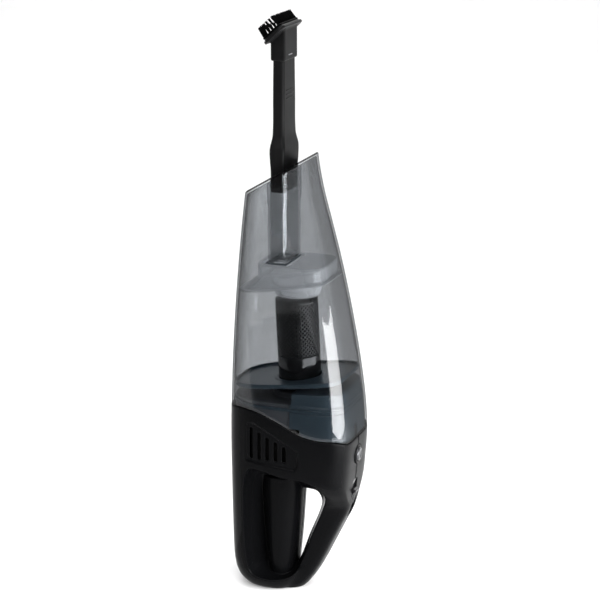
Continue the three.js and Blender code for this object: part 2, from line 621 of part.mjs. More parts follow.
/** The clear partition under the inlet duct: a sloping brim, a raised box and a bowl over the filter. */
function makeDeflector() {
  const inset = CUP_WALL + GAP + 0.2;
  const brimZ = (x) => 297 + 0.16 * x;
  const brim = (rise, extra) => ovalRing(
    300, bellyX(292) + inset + extra, frontX(307) - inset - extra, halfWidth(303) - inset - extra,
    BELLY_POWER, FRONT_POWER,
  ).map((p) => p.setZ(brimZ(p.x) + rise));
  const box = (z, extra) => ovalRing(z, -20 + extra, 45 - extra, 31 - extra, 4, FRONT_POWER);
  const shelf = solid(loft([brim(-0.8, 0), brim(0.8, 0)]));
  const outside = solid(loft([brim(0, 3), box(306, 0), box(319.6, 1)]));
  const inside = solid(loft([brim(-1.6, 5), box(306, 1.6), box(318, 2.6)]));
  const walls = cut(outside, inside);
  const shelfHole = bar(13, 0, 280, 312, 22, 20);
  const bowl = cut(bar(13, 0, 286.8, 300, 20.4, 20, 24), bar(13, 0, 288, 301, 19.2, 20, 22.6));
  const ductRoom = prism(roundedRectangle(28, 48, 6), 310, 330);
  piece('deflector', cut(join(cut(shelf, shelfHole), walls, bowl), ductRoom), 'clear');

  const leaf = join(
    block([-8.6, -20.6, 317.6], [9.4, 20.6, 319]),
    crossBar(-9.4, 318.3, -20.6, 20.6, 1.2, 12),
  );
  piece('inlet_flap', leaf.subtract(crossBar(-9.4, 318.3, -30, 30, 0.75, 10)), 'navy');
  piece('flap_pin', crossBar(-9.4, 318.3, -21.6, 21.6, 0.45, 10), 'steel');
}

// ---------------------------------------------------------------- crevice tool and brush

function toolLoft(rows, power = 5) {
  return solid(loft(rows.map(([z, halfX, halfY]) => ovalRing(
    z, -halfX, halfX, halfY, power, power, TOOL_POINTS,
  ))));
}

function makeTool() {
  const { bottomZ, shoulderZ, flareZ, neckZ, topZ } = TOOL;
  const outside = toolLoft([
    [bottomZ, 6.8, 18.9], [shoulderZ, 7.1, 19.3], [flareZ - 2, 7.4, 20], [flareZ + 5, 7.1, 19.4],
    [neckZ, 5.9, 16.8], [topZ, 5.4, 14.8],
  ]);
  const bore = toolLoft([
    [bottomZ - 1, 5, 17.1], [flareZ, 5.4, 17.8], [neckZ, 4.2, 15.2], [topZ + 1, 3.7, 13.1],
  ]);
  const grips = [469, 472.6, 476.2].map((z) => block([4.6, -9, z - 0.6], [6.6, 9, z + 0.6]));
  piece('crevice_tool', cut(join(outside, ...grips), bore), 'tool');
}

/** Turns a solid made around the origin, bristles up, into the brush plate's frame. */
function inBrushFrame(shape) {
  return turned(shape, -THREE.MathUtils.radToDeg(BRUSH.tilt)).translate([BRUSH.x, 0, BRUSH.z]);
}

function makeBrush() {
  const { bottomZ, width, length } = BRUSH;
  const outside = prism(roundedRectangle(13.8, 32.8, 1.6), bottomZ, 560);
  const sleeve = outside.subtract(inBrushFrame(block([-60, -60, -2], [60, 60, 80])));
  const socket = prism(roundedRectangle(11.8, 30.8, 1), bottomZ - 1, TOOL.topZ + 2 * GAP);
  const flange = inBrushFrame(prism(roundedRectangle(width, length, 6), -4.2, -1.6));
  const lip = inBrushFrame(prism(roundedRectangle(width - 3, length - 3, 5), -1.7, -0.4));
  const airWay = prism(roundedRectangle(6, 24, 2.5), TOOL.topZ - 1, 550).translate([BRUSH.x, 0, 0]);
  piece('brush_body', cut(join(sleeve, flange, lip), socket, airWay), 'tool');

  const ringOuter = prism(roundedRectangle(width - 3, length - 3, 5), 0, 1.6);
  const ringInner = prism(roundedRectangle(9, 27, 3), -1, 3);
  const tufts = [];
  for (const x of [-8.4, 8.4]) {
    for (const y of steps(-21, 21, 7)) tufts.push(tuft(x, y));
  }
  for (const y of [-21, -17, 17, 21]) tufts.push(tuft(0, y));
  piece('bristles', inBrushFrame(join(cut(ringOuter, ringInner), ...tufts)), 'bristle');
}

/** One bristle tuft in the brush frame, splayed away from the middle. */
function tuft(x, y) {
  const shape = new THREE.CylinderGeometry(1.9, 1.3, 10.5, 6).rotateX(Math.PI / 2).translate(0, 0, 6.2);
  const lean = new THREE.Matrix4().makeRotationFromEuler(new THREE.Euler(-y * 0.008, x * 0.02, 0));
  return solid(shape.applyMatrix4(lean).translate(x, y, 0));
}

makeBody();
makeCollar();
makeFilter();
makeMotor();
makeBattery();
makeSwitch();
makeButton();
makeCup();
makeDeflector();
makeTool();
makeBrush();

export default vacuum;
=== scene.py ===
"""A cordless handheld vacuum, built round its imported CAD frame.

Shapes are worked out in millimetres in the CAD frame: +Z runs up from the foot pad, and +X is the
front, with the button and the switch. They are turned into metres as each mesh is made. Moulded
parts are distance fields, joined and cut smoothly and then polygonised. The clear cup, the duct and
the tool are skinned over rings of points.
"""

import functools
import math

import bpy
import numpy as np
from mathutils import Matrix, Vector


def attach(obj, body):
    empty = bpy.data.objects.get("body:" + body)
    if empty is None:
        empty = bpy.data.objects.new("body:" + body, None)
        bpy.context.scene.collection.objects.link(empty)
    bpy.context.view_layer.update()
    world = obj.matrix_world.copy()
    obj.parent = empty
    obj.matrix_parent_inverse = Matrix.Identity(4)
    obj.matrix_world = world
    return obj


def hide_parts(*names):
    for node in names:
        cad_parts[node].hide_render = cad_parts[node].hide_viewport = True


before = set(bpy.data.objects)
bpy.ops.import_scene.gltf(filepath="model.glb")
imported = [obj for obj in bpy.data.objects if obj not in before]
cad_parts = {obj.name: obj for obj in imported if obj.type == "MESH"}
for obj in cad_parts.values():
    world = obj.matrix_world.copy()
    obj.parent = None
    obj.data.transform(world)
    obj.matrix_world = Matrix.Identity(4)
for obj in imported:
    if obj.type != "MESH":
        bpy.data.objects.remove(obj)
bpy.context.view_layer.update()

MM = 0.001
VIEW_AZIMUTH = 20

# ---------------- dimensions, in millimetres

GAP = 0.3
MOUTH_Z = 401.8
MOUTH_SLOPE = 0.597
MOUTH_TILT = math.atan(MOUTH_SLOPE)
BODY_HALF_WIDTH = 46
NOSE_NARROWING = 19
SHOULDER_Z = 170
BELLY_POWER = 2.8
FRONT_POWER = 5
SHELL_WALL = 2.4
CUP_WALL = 2
DUCT_BORE = (7.4, 19.6, 4)  # half sizes and corner radius
FLAP_PIN_X = -9.4
FLAP_PIN_Z = 318.3

VENT_X = -17.5
VENT_PITCH = 8.2
VENT_HALF_WIDTH = 1.65
VENT_BOTTOM_Z = 137.4
VENT_TOP_Z = 167
VENT_FALL = 0.45
CHARGE_Z = 40

FILTER_X = 15.6
FILTER_Z = 205
FILTER_TILT = -0.05
FILTER_RADIUS = 19.8
FILTER_TOP = 77
TRAY_Z = 207.4
TRAY_TILT = -0.12
COLLAR_TOP_Z = 192.5

SWITCH_X = 66.6
SWITCH_Z = 95
SWITCH_LEAN = 0.27
BUTTON_Z = 138.5
BUTTON_RADIUS = 6.4
BUTTON_FACE_X = 72.2

TOOL_BOTTOM_Z = 384
TOOL_TOP_Z = 521
BRUSH_X = -2.6
BRUSH_Z = 529.4
BRUSH_TILT = 0.74
BRUSH_LENGTH = 54
BRUSH_WIDTH = 25

# X and Z of each screw, and the seat of its head along Y
SCREWS = [(39, 52, 11), (19, 14, 9), (47, 110, 24), (-34, 119, 28), (-31, 12, 16)]
SCREW_HEAD = 3
SCREW_SHANK = 1.6

# ---------------- curves and outlines


def smooth_curve(*points):
    """A smooth function through (position, value) pairs, flat beyond both ends."""
    at, value = np.array(points, float).T
    slope = np.gradient(value, at)
    slope[1:-1] = (value[2:] - value[:-2]) / (at[2:] - at[:-2])

    def curve(position):
        p = np.clip(position, at[0], at[-1])
        i = np.clip(np.searchsorted(at, p, side="right") - 1, 0, len(at) - 2)
        span = at[i + 1] - at[i]
        t = (p - at[i]) / span
        rise = value[i] * (1 + 2 * t) * (1 - t) ** 2 + value[i + 1] * (3 - 2 * t) * t**2
        bend = slope[i] * t * (1 - t) ** 2 - slope[i + 1] * t**2 * (1 - t)
        return rise + span * bend

    return curve


belly_x = smooth_curve(
    (0, -24), (5, -34), (14, -41.5), (30, -45.4), (60, -46.8), (110, -47.8), (150, -48.3),
    (200, -47.4), (245, -45.7), (290, -43), (335, -39.4), (380, -34.8), (425, -28.5),
)
front_x = smooth_curve(
    (96, 68.6), (125, 71.4), (155, 73.2), (185, 71.7), (230, 65.9), (275, 58.1),
    (320, 48.7), (350, 41.3), (380, 33.8), (402, 29.6), (425, 26.8),
)
split_z = smooth_curve(
    (-60, 181), (-42, 181.8), (-30, 184.2), (-18, 183.6), (-5, 180.8), (8, 175.8),
    (20, 169.8), (32, 164.6), (46, 162), (62, 161.2), (68, 159.4), (76, 154),
)
column_reach = smooth_curve((4, 12), (30, 14.5), (60, 17.5), (100, 20.5))
column_half = smooth_curve((4, 16), (28, 21), (100, 21.6))
belly_front = smooth_curve((0, 8), (60, 20), (85, 28), (104, 44), (122, 52))
belly_half = smooth_curve((0, 20), (5, 27), (14, 32.5), (30, 37), (60, 41), (100, 44), (122, 44.7))
handle_back = smooth_curve((0, -6), (16, 4), (49, 22), (77, 30), (92, 0), (125, -20))
handle_front = smooth_curve(
    (0, 21), (4.4, 25.3), (15.9, 33.4), (30.3, 41.4), (48.9, 50.4), (65.2, 58.3), (84.8, 67.4),
    (100, 70.2), (125, 71.4),
)
handle_half = smooth_curve(
    (0, 14), (8, 16), (49, 17), (77, 18.2), (88, 21), (97, 28), (108, 38), (118, 44.6), (126, 46),
)
foot_front = smooth_curve((0, 14), (8, 20), (22, 25))
foot_half = smooth_curve((0, 18), (5, 25), (14, 31), (30, 36))
handle_power = smooth_curve((0, 2.4), (30, 3.2), (75, 3.6), (125, FRONT_POWER))

# X and Z round the hand hole: at the body's side, and in the middle, where the hole goes through
RIM = np.array([
    (-22, 18), (-26, 40), (-27, 75), (-26.5, 108), (-21, 125), (-8, 126.5), (12, 122.3),
    (34, 120.6), (47.5, 115), (52, 103), (47, 84), (37.3, 58.7), (27, 30), (16, 15), (-4, 12),
], float)
HOLE = np.array([
    (-10, 26), (-12, 45), (-13, 70), (-12, 90), (-6, 97), (4, 99), (14, 99),
    (26, 99), (34.5, 97), (38.7, 88.5), (35.5, 76), (27.3, 56), (19, 33), (12, 20), (0, 19),
], float)
HOLE_HALF = 4
RIM_HALF = 42


def half_width(z):
    """Half the body's width along Y at a height."""
    along = np.clip((z - SHOULDER_Z) / (400 - SHOULDER_Z), 0, 1.2)
    return BODY_HALF_WIDTH - NOSE_NARROWING * along**1.25


def closed_curve(points, per_span=5):
    """Points on a smooth closed curve through these points."""
    before, after, beyond = (np.roll(points, n, axis=0) for n in (1, -1, -2))
    t = np.linspace(0, 1, per_span, endpoint=False)[:, None, None]
    curve = 0.5 * (
        2 * points + (after - before) * t
        + (2 * before - 5 * points + 4 * after - beyond) * t**2
        + (3 * points - before - 3 * after + beyond) * t**3
    )
    return curve.transpose(1, 0, 2).reshape(-1, 2)


def round_rectangle(half_x, half_y, radius, count=96):
    """Points round a rectangle with round corners in X and Y, anticlockwise."""
    turn = np.linspace(0, np.pi / 2, count // 4)
    corners = [(1, 1, 0), (-1, 1, 1), (-1, -1, 2), (1, -1, 3)]
    points = [
        np.stack([
            side_x * (half_x - radius) + radius * np.cos(turn + quarter * np.pi / 2),
            side_y * (half_y - radius) + radius * np.sin(turn + quarter * np.pi / 2),
        ], axis=-1)
        for side_x, side_y, quarter in corners
    ]
    return np.concatenate(points)


# ---------------- distance fields


class Lattice:
    """A regular grid of sample points."""

    def __init__(self, low, high, step, quick_step=None):
        step = quick_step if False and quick_step else step
        self.low = np.array(low, float)
        self.step = step
        axes = [np.arange(a, b + step, step, dtype=np.float32) for a, b in zip(low, high)]
        self.x, self.y, self.z = np.meshgrid(*axes, indexing="ij", sparse=True)
        self.shape = tuple(len(axis) for axis in axes)

    def full(self, field):
        """A field with a value at every sample."""
        return np.array(np.broadcast_to(field, self.shape), dtype=np.float32)

    def distance(self, field):
        """A field scaled to be a distance near its zero surface."""
        field = self.full(field)
        slopes = np.gradient(field, self.step)
        steepness = np.sqrt(sum(slope**2 for slope in slopes))
        return field / np.maximum(steepness, 0.15)

    def tube(self, back, front, half, back_power, front_power=None):
        """Distance to an upright tube whose superellipse section changes with height."""
        z = self.z[0, 0]
        back, front, half = (curve(z) if callable(curve) else curve for curve in (back, front, half))
        back_power = back_power(z) if callable(back_power) else back_power
        front_power = back_power if front_power is None else front_power
        middle, reach = (back + front) / 2, np.maximum((front - back) / 2, 0.1)
        across = np.abs(self.x - middle) / reach
        power = np.where(self.x > middle, front_power, back_power)
        along = np.abs(self.y) / half
        radius = (across**power + along**power) ** (1 / power)
        return self.distance((radius - 1) * np.minimum(reach, half))

    def hull(self, inset=0):
        """Distance to the vacuum's outer form, drawn in by inset."""
        return self.tube(belly_x, front_x, half_width, BELLY_POWER, FRONT_POWER) + inset

    def box(self, low, high, radius=0, turn=None):
        """Distance to a box with round edges; turn is an angle about Y and a pivot in X and Z."""
        x, y, z = (self.x, self.y, self.z) if turn is None else self.turned(*turn)
        return round_box(x, y, z, low, high, radius)

    def turned(self, angle, pivot_x, pivot_z):
        """Coordinates in a frame turned about Y by angle, with its origin at the pivot."""
        x, z = self.x - pivot_x, self.z - pivot_z
        cos, sin = math.cos(angle), math.sin(angle)
        return x * cos - z * sin, self.y, x * sin + z * cos

    def bar(self, axis, centre, low, high, radius):
        """Distance to a round bar along an axis; centre is its place on the other two."""
        across = {"x": (self.y, self.z), "y": (self.x, self.z), "z": (self.x, self.y)}[axis]
        side = np.sqrt(sum((line - at) ** 2 for line, at in zip(across, centre))) - radius
        along = getattr(self, axis)
        return np.maximum(side, np.maximum(low - along, along - high))

    def under_split(self, rise=0):
        """Distance above the line where the cup meets the body."""
        x = self.x[:, 0, 0]
        slope = np.gradient(split_z(x), x)[:, None, None]
        return (self.z - split_z(self.x) - rise) / np.sqrt(1 + slope**2)

    def beyond_mouth(self, depth=0):
        """Distance in front of the mouth plane, moved back by depth."""
        return (self.z - MOUTH_Z - MOUTH_SLOPE * self.x) * math.cos(MOUTH_TILT) + depth


def round_box(x, y, z, low, high, radius=0):
    """Distance to a box with round edges."""
    beyond = [
        np.abs(axis - (a + b) / 2) - (b - a) / 2 + radius
        for axis, a, b in zip((x, y, z), low, high)
    ]
    outside = np.sqrt(sum(np.maximum(part, 0) ** 2 for part in beyond))
    deepest = np.maximum(np.maximum(beyond[0], beyond[1]), beyond[2])
    return outside + np.minimum(deepest, 0) - radius


def outline_distance(u, v, outline):
    """Signed distance to a closed outline in a plane, negative inside."""
    shape = np.broadcast(u, v).shape
    nearest = np.full(shape, 1e9, np.float32)
    inside = np.zeros(shape, bool)
    for (u0, v0), (u1, v1) in zip(outline, np.roll(outline, -1, axis=0)):
        du, dv = u1 - u0, v1 - v0
        t = np.clip(((u - u0) * du + (v - v0) * dv) / (du * du + dv * dv), 0, 1)
        nearest = np.minimum(nearest, (u - u0 - t * du) ** 2 + (v - v0 - t * dv) ** 2)
        if dv:
            inside ^= ((v0 > v) != (v1 > v)) & (u < u0 + (v - v0) * du / dv)
    return np.where(inside, -1, 1) * np.sqrt(nearest)


def joined(a, b, radius=0.0):
    """Union of two fields, with a fillet of about radius."""
    if radius == 0:
        return np.minimum(a, b)
    near = np.maximum(radius - np.abs(a - b), 0)
    return np.minimum(a, b) - near**2 / (4 * radius)


def both(a, b, radius=0.0):
    """Intersection of two fields, with its edges rounded by about radius."""
    return -joined(-a, -b, radius)


def without(a, b, radius=0.0):
    """Field a with field b cut away, with its edges rounded by about radius."""
    return -joined(-a, b, radius)


CUBE = np.array([(i, j, k) for i in (0, 1) for j in (0, 1) for k in (0, 1)])
CUBE_EDGES = [
    (a, b) for a in range(8) for b in range(a + 1, 8) if np.abs(CUBE[a] - CUBE[b]).sum() == 1
]


def polygonised(lattice, field):
    """Vertices and quads of the zero surface of a field that is negative inside."""
    field = np.pad(lattice.full(field), 1, constant_values=lattice.step)
    low = lattice.low - lattice.step
    inside = field < 0
    size = np.array(field.shape) - 1
    corners_in = sum(
        inside[i:i + size[0], j:j + size[1], k:k + size[2]].astype(np.int8) for i, j, k in CUBE
    )
    cells = np.argwhere((corners_in > 0) & (corners_in < 8))
    index = np.full(size, -1, np.int64)
    index[tuple(cells.T)] = np.arange(len(cells))
    value = [field[tuple((cells + corner).T)] for corner in CUBE]
    total = np.zeros((len(cells), 3))
    hits = np.zeros((len(cells), 1))
    for a, b in CUBE_EDGES:
        crossing = ((value[a] < 0) != (value[b] < 0))[:, None]
        share = (value[a] / np.where(value[a] == value[b], 1, value[a] - value[b]))[:, None]
        total += np.where(crossing, CUBE[a] + share * (CUBE[b] - CUBE[a]), 0)
        hits += crossing
    points = cells + total / hits
    faces = []
    for axis in range(3):
        e, f = np.eye(3, dtype=int)[[(axis + 1) % 3, (axis + 2) % 3]]
        near = np.take(inside, range(inside.shape[axis] - 1), axis)
        far = np.take(inside, range(1, inside.shape[axis]), axis)
        for wanted, flip in ((near & ~far, False), (far & ~near, True)):
            at = np.argwhere(wanted)
            quad = [index[tuple((at - shift).T)] for shift in (e + f, f, 0 * e, e)]
            faces.append(np.stack(quad[::-1] if flip else quad, axis=-1))
    points = settled(field, points)
    return low + points * lattice.step, np.concatenate(faces)


def sampled(field, points):
    """A field read between its samples, at points in grid units."""
    limit = np.array(field.shape) - 2
    base = np.clip(np.floor(points).astype(int), 0, limit)
    share = points - base
    value = 0
    for corner in CUBE:
        weight = np.prod(np.where(corner, share, 1 - share), axis=1)
        value = value + weight * field[tuple((base + corner).T)]
    return value


def settled(field, points):
    """Points moved onto the zero surface of a field."""
    for _ in range(2):
        slope = np.stack([
            sampled(field, points + 0.5 * unit) - sampled(field, points - 0.5 * unit)
            for unit in np.eye(3)
        ], axis=-1)
        steepness = np.maximum((slope**2).sum(axis=1, keepdims=True), 1e-3)
        move = -sampled(field, points)[:, None] * slope / steepness
        points = points + np.clip(move, -0.4, 0.4)
    return points


# ---------------- meshes


def mesh_piece(name, body, material, surface, replaces=()):
    """A mesh object, in metres, riding on a body and standing for its CAD nodes."""
    vertices, faces = surface
    mesh = bpy.data.meshes.new(name)
    mesh.from_pydata((np.asarray(vertices) * MM).tolist(), [], [list(face) for face in faces])
    mesh.update()
    mesh.shade_smooth()
    piece = bpy.data.objects.new(name, mesh)
    bpy.context.scene.collection.objects.link(piece)
    mesh.materials.append(MATERIAL[material])
    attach(piece, body)
    if replaces:
        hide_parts(*replaces)
    return piece


def skin(rings, loop=False):
    """Vertices and faces over rings of points; loop joins the last ring to the first, uncapped."""
    rings = np.asarray(rings, float)
    count, around = rings.shape[:2]
    first = np.arange(around)
    after = (first + 1) % around
    faces = []
    for r in range(count if loop else count - 1):
        a, b = r * around, ((r + 1) % count) * around
        faces.extend(np.stack([a + first, a + after, b + after, b + first], axis=-1).tolist())
    if not loop:
        faces.append(list(range(around))[::-1])
        faces.append([(count - 1) * around + i for i in range(around)])
    return rings.reshape(-1, 3), faces


def merged(parts):
    """Several (vertices, faces) pairs as one."""
    vertices, faces = [], []
    start = 0
    for part_vertices, part_faces in parts:
        vertices.append(np.asarray(part_vertices, float))
        faces.extend([[start + i for i in face] for face in part_faces])
        start += len(part_vertices)
    return np.concatenate(vertices), faces


def level(points, z):
    """Points in X and Y lifted to a height, one for all or one each."""
    return np.column_stack([points, np.broadcast_to(z, len(points))])


def turned_y(points, angle, x=0, z=0):
    """Points turned about Y by angle, then moved."""
    points = np.asarray(points, float)
    cos, sin = math.cos(angle), math.sin(angle)
    return np.column_stack([
        points[:, 0] * cos + points[:, 2] * sin + x, points[:, 1],
        -points[:, 0] * sin + points[:, 2] * cos + z,
    ])


def spun(profile, count=96):
    """Rings of a turned solid from (radius, z) pairs."""
    angle = 2 * np.pi * np.arange(count) / count
    return [
        np.column_stack([r * np.cos(angle), r * np.sin(angle), np.full(count, z)])
        for r, z in profile
    ]


def rounded_profile(points, radius=0.5, steps=4):
    """A closed profile of (radius, z) pairs with its corners rounded."""
    points = np.asarray(points, float)
    out = []
    for before, corner, after in zip(np.roll(points, 1, axis=0), points, np.roll(points, -1, axis=0)):
        to_before, to_after = before - corner, after - corner
        reach = min(radius, 0.45 * np.linalg.norm(to_before), 0.45 * np.linalg.norm(to_after))
        start = corner + to_before / np.linalg.norm(to_before) * reach
        end = corner + to_after / np.linalg.norm(to_after) * reach
        for t in np.linspace(0, 1, steps):
            out.append((1 - t) ** 2 * start + 2 * t * (1 - t) * corner + t**2 * end)
    return out


# ---------------- materials


class Nodes:
    """Builds one material's node tree."""

    def __init__(self, name):
        self.material = bpy.data.materials.new(name)
        self.material.use_nodes = True
        self.tree = self.material.node_tree
        self.tree.nodes.clear()
        self.output = self.tree.nodes.new("ShaderNodeOutputMaterial")
        self.coordinates = self.tree.nodes.new("ShaderNodeTexCoord").outputs["Object"]

    def add(self, kind, **inputs):
        node = self.tree.nodes.new(kind)
        for key, value in inputs.items():
            socket = node.inputs[key.replace("_", " ")]
            if isinstance(value, bpy.types.NodeSocket):
                self.tree.links.new(value, socket)
            else:
                socket.default_value = value
        return node

    def link(self, source, target):
        self.tree.links.new(source, target)

    def noise(self, scale, detail=3, stretch=(1, 1, 1)):
        """A noise from 0 to 1, in metres of the object."""
        place = self.add("ShaderNodeMapping", Vector=self.coordinates, Scale=stretch)
        noise = self.add("ShaderNodeTexNoise", Vector=place.outputs[0], Scale=scale, Detail=detail)
        return noise.outputs["Fac"]

    def between(self, factor, low, high):
        """A factor mapped from 0..1 to low..high."""
        mapped = self.add("ShaderNodeMapRange", Value=factor)
        mapped.inputs["To Min"].default_value = low
        mapped.inputs["To Max"].default_value = high
        return mapped.outputs[0]

    def blend(self, factor, first, second):
        """A colour between two colours, each given as numbers or as a socket."""
        mix = self.tree.nodes.new("ShaderNodeMix")
        mix.data_type = "RGBA"
        self.link(factor, mix.inputs["Factor"])
        for socket, color in (("A", first), ("B", second)):
            if isinstance(color, bpy.types.NodeSocket):
                self.link(color, mix.inputs[socket])
            else:
                mix.inputs[socket].default_value = (*color, 1)
        return mix.outputs["Result"]

    def bumped(self, height, strength, depth=0.0001):
        bump = self.add("ShaderNodeBump", Height=height, Strength=strength, Distance=depth)
        return bump.outputs[0]

    def mixed(self, factor, first, second):
        """A shader between two shaders."""
        mix = self.tree.nodes.new("ShaderNodeMixShader")
        for socket, source in zip(mix.inputs, (factor, first, second)):
            self.link(source, socket)
        return mix.outputs[0]

    def finish(self, shader):
        self.link(shader, self.output.inputs["Surface"])
        return self.material


def shaded(color, factor):
    """A colour made darker or lighter."""
    return tuple(min(1.0, channel * factor) for channel in color)


def moulded(name, color, rough, grain=900, grain_strength=0.12, specular=0.5, metallic=0.0):
    """Moulded plastic or rubber: fine grain, faint mottling and uneven gloss."""
    n = Nodes(name)
    patches = n.noise(55, 4)
    fine = n.noise(grain, 2)
    shader = n.add("ShaderNodeBsdfPrincipled")
    shader.inputs["Metallic"].default_value = metallic
    shader.inputs["Specular IOR Level"].default_value = specular
    n.link(n.blend(patches, shaded(color, 0.88), shaded(color, 1.12)), shader.inputs["Base Color"])
    n.link(n.between(patches, rough * 0.9, rough * 1.12), shader.inputs["Roughness"])
    n.link(n.bumped(fine, grain_strength), shader.inputs["Normal"])
    return n.finish(shader.outputs[0])


def grazing(nodes, power):
    """A factor that rises from 0 face on to 1 at grazing angles."""
    rise = nodes.tree.nodes.new("ShaderNodeMath")
    rise.operation = "POWER"
    nodes.link(nodes.add("ShaderNodeLayerWeight", Blend=0.5).outputs["Facing"], rise.inputs[0])
    rise.inputs[1].default_value = power
    return rise.outputs[0]


def clear_plastic(name, tint, rim_tint, reflection=(0.028, 0.3), frost=None):
    """Clear plastic, seen through without bending and darker at its grazing edges.

    reflection is the mirror's share face on and at grazing angles; frost is the share and colour of
    a milky surface.
    """
    n = Nodes(name)
    haze = n.noise(70, 4)
    through = n.add("ShaderNodeBsdfTransparent")
    face_on = n.blend(haze, shaded(tint, 0.97), shaded(tint, 1.03))
    n.link(n.blend(grazing(n, 3), face_on, rim_tint), through.inputs["Color"])
    mirror = n.add("ShaderNodeBsdfAnisotropic", Color=(1, 1, 1, 1))
    n.link(n.between(haze, 0.036, 0.0585), mirror.inputs["Roughness"])
    n.link(n.bumped(n.noise(260, 2), 0.02), mirror.inputs["Normal"])
    shader = n.mixed(n.between(grazing(n, 5), *reflection), through.outputs[0], mirror.outputs[0])
    if frost:
        share, color = frost
        milky = n.add("ShaderNodeBsdfPrincipled", Roughness=0.5)
        n.link(n.blend(haze, shaded(color, 0.94), shaded(color, 1.06)), milky.inputs["Base Color"])
        shader = n.mixed(n.between(grazing(n, 2), share, share + 0.35), shader, milky.outputs[0])
    return n.finish(shader)


def brushed(name, color):
    """Metal with fine lines."""
    n = Nodes(name)
    lines = n.noise(400, 3, (1, 1, 12))
    shader = n.add("ShaderNodeBsdfPrincipled")
    shader.inputs["Metallic"].default_value = 1
    n.link(n.blend(lines, shaded(color, 0.82), color), shader.inputs["Base Color"])
    n.link(n.between(lines, 0.256, 0.416), shader.inputs["Roughness"])
    n.link(n.bumped(lines, 0.15, 0.00005), shader.inputs["Normal"])
    return n.finish(shader.outputs[0])


def porous(name, color, scale=900):
    """Open foam or fleece, with painted shade in its pits."""
    n = Nodes(name)
    cells = n.add("ShaderNodeTexVoronoi", Vector=n.coordinates, Scale=scale)
    shader = n.add("ShaderNodeBsdfPrincipled", Roughness=0.95)
    shader.inputs["Specular IOR Level"].default_value = 0.05
    # The cell centres are sunk as pits and painted darker: painted shade in the pores.
    n.link(n.blend(cells.outputs["Distance"], shaded(color, 0.3), color), shader.inputs["Base Color"])
    n.link(n.bumped(cells.outputs["Distance"], 0.8, 0.0005), shader.inputs["Normal"])
    return n.finish(shader.outputs[0])


MATERIAL = {
    "black": moulded("satin_black", (0.0022, 0.0023, 0.0026), 0.25, 2500, 0.04, specular=0.03),
    "clear": clear_plastic("smoke_clear", (0.712, 0.72, 0.73), (0.04, 0.041, 0.042),
                           reflection=(0.024, 0.07)),
    "mouth_edge": clear_plastic("mouth_edge", (0.3, 0.305, 0.31), (0.04, 0.04, 0.04),
                                reflection=(0.02, 0.06)),
    "light_clear": clear_plastic("inner_clear", (0.9, 0.905, 0.91), (0.25, 0.26, 0.27),
                                 reflection=(0.08, 0.7)),
    "frosted": clear_plastic("frosted_clear", (0.93, 0.935, 0.94), (0.6, 0.61, 0.62),
                             frost=(0.2, (0.8, 0.81, 0.82))),
    "navy": moulded("blue_grey", (0.036, 0.055, 0.070), 0.3, 4000, 0.04),
    # A lighter copy of the navy for the collar's left part: painted reflected light, not a second plastic.
    "collar_painted_reflection": moulded("painted_reflection_grey", (0.074, 0.079, 0.087), 0.35, 4000, 0.04),
    "mesh": moulded("screen_black", (0.006, 0.006, 0.0065), 0.25, 2500, 0.04),
    "band": moulded("gloss_black", (0.010, 0.010, 0.011), 0.12, 800, 0.03),
    "tool": moulded("tool_grey", (0.0048, 0.0048, 0.0050), 0.4, 2500, 0.05, specular=0.08),
    # Pale grey for the brush's small catch: a painted highlight on its raised pip.
    "catch": moulded("pale_painted_highlight", (0.13, 0.13, 0.14), 0.4, 2500, 0.05),
    "bristle": moulded("bristle_black", (0.0012, 0.0012, 0.0014), 0.5, 2500, 0.2, specular=0.03),
    "gloss": moulded("gloss_grey", (0.045, 0.046, 0.049), 0.2, 1500, 0.03, metallic=0.7),
    "dark": moulded("dark_nylon", (0.03, 0.03, 0.032), 0.5),
    "rubber": moulded("soft_rubber", (0.012, 0.012, 0.012), 0.75, 1800, 0.35, specular=0.3),
    "steel": brushed("zinc_steel", (0.62, 0.62, 0.63)),
    "foam": porous("exhaust_foam", (0.002, 0.002, 0.002)),
    "fleece": porous("filter_fleece", (0.05, 0.05, 0.05), 1600),
    "cell": moulded("cell_wrap", (0.02, 0.11, 0.24), 0.25, 300, 0.04),
    "board": moulded("board_green", (0.006, 0.06, 0.028), 0.4, 700, 0.3),
    "wire": moulded("wire_red", (0.30, 0.015, 0.01), 0.45, 900, 0.1),
}

CAD_FINISH = {
    "rubber": ["foot_pad", "filter_seal", "motor_mount"],
    "navy": ["cup_seal"],
    "steel": ["motor_can", "rotor", "button_spring", "flap_pin"],
    "black": ["motor_end_cap", "fan_housing", "cell_tray_lower", "cell_tray_upper", "spring_seat"],
    "dark": ["impeller", "charge_socket", "switch_body", "latch_hook"],
    "foam": ["exhaust_foam_left", "exhaust_foam_right"],
    "fleece": ["filter_element"],
    "cell": ["cell_left", "cell_right"],
    "board": ["circuit_board"],
    "wire": ["battery_wire", "charge_wire"],
}


def finish_cad_nodes():
    """The CAD nodes that stay get their Blender materials."""
    for finish, nodes in CAD_FINISH.items():
        for node in nodes:
            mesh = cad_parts[node].data
            mesh.materials.clear()
            mesh.materials.append(MATERIAL[finish])


# ---------------- body shells


def hand_opening(lattice):
    """Distance to the hand hole, which widens into a scoop on each side."""
    hole, rim = closed_curve(HOLE), closed_curve(RIM)
    x, z = lattice.x[:, 0], lattice.z[:, 0]
    depths = np.abs(lattice.y[0, :, 0])
    slices = {}
    field = np.empty(lattice.shape, np.float32)
    for i, depth in enumerate(depths):
        key = round(float(depth), 3)
        if key not in slices:
            along = min(max((key - HOLE_HALF) / (RIM_HALF - HOLE_HALF), 0), 1)
            share = 1 - (1 - along) ** 2
            slices[key] = outline_distance(x, z, hole + (rim - hole) * share)
        field[:, i] = slices[key]
    return lattice.distance(field)


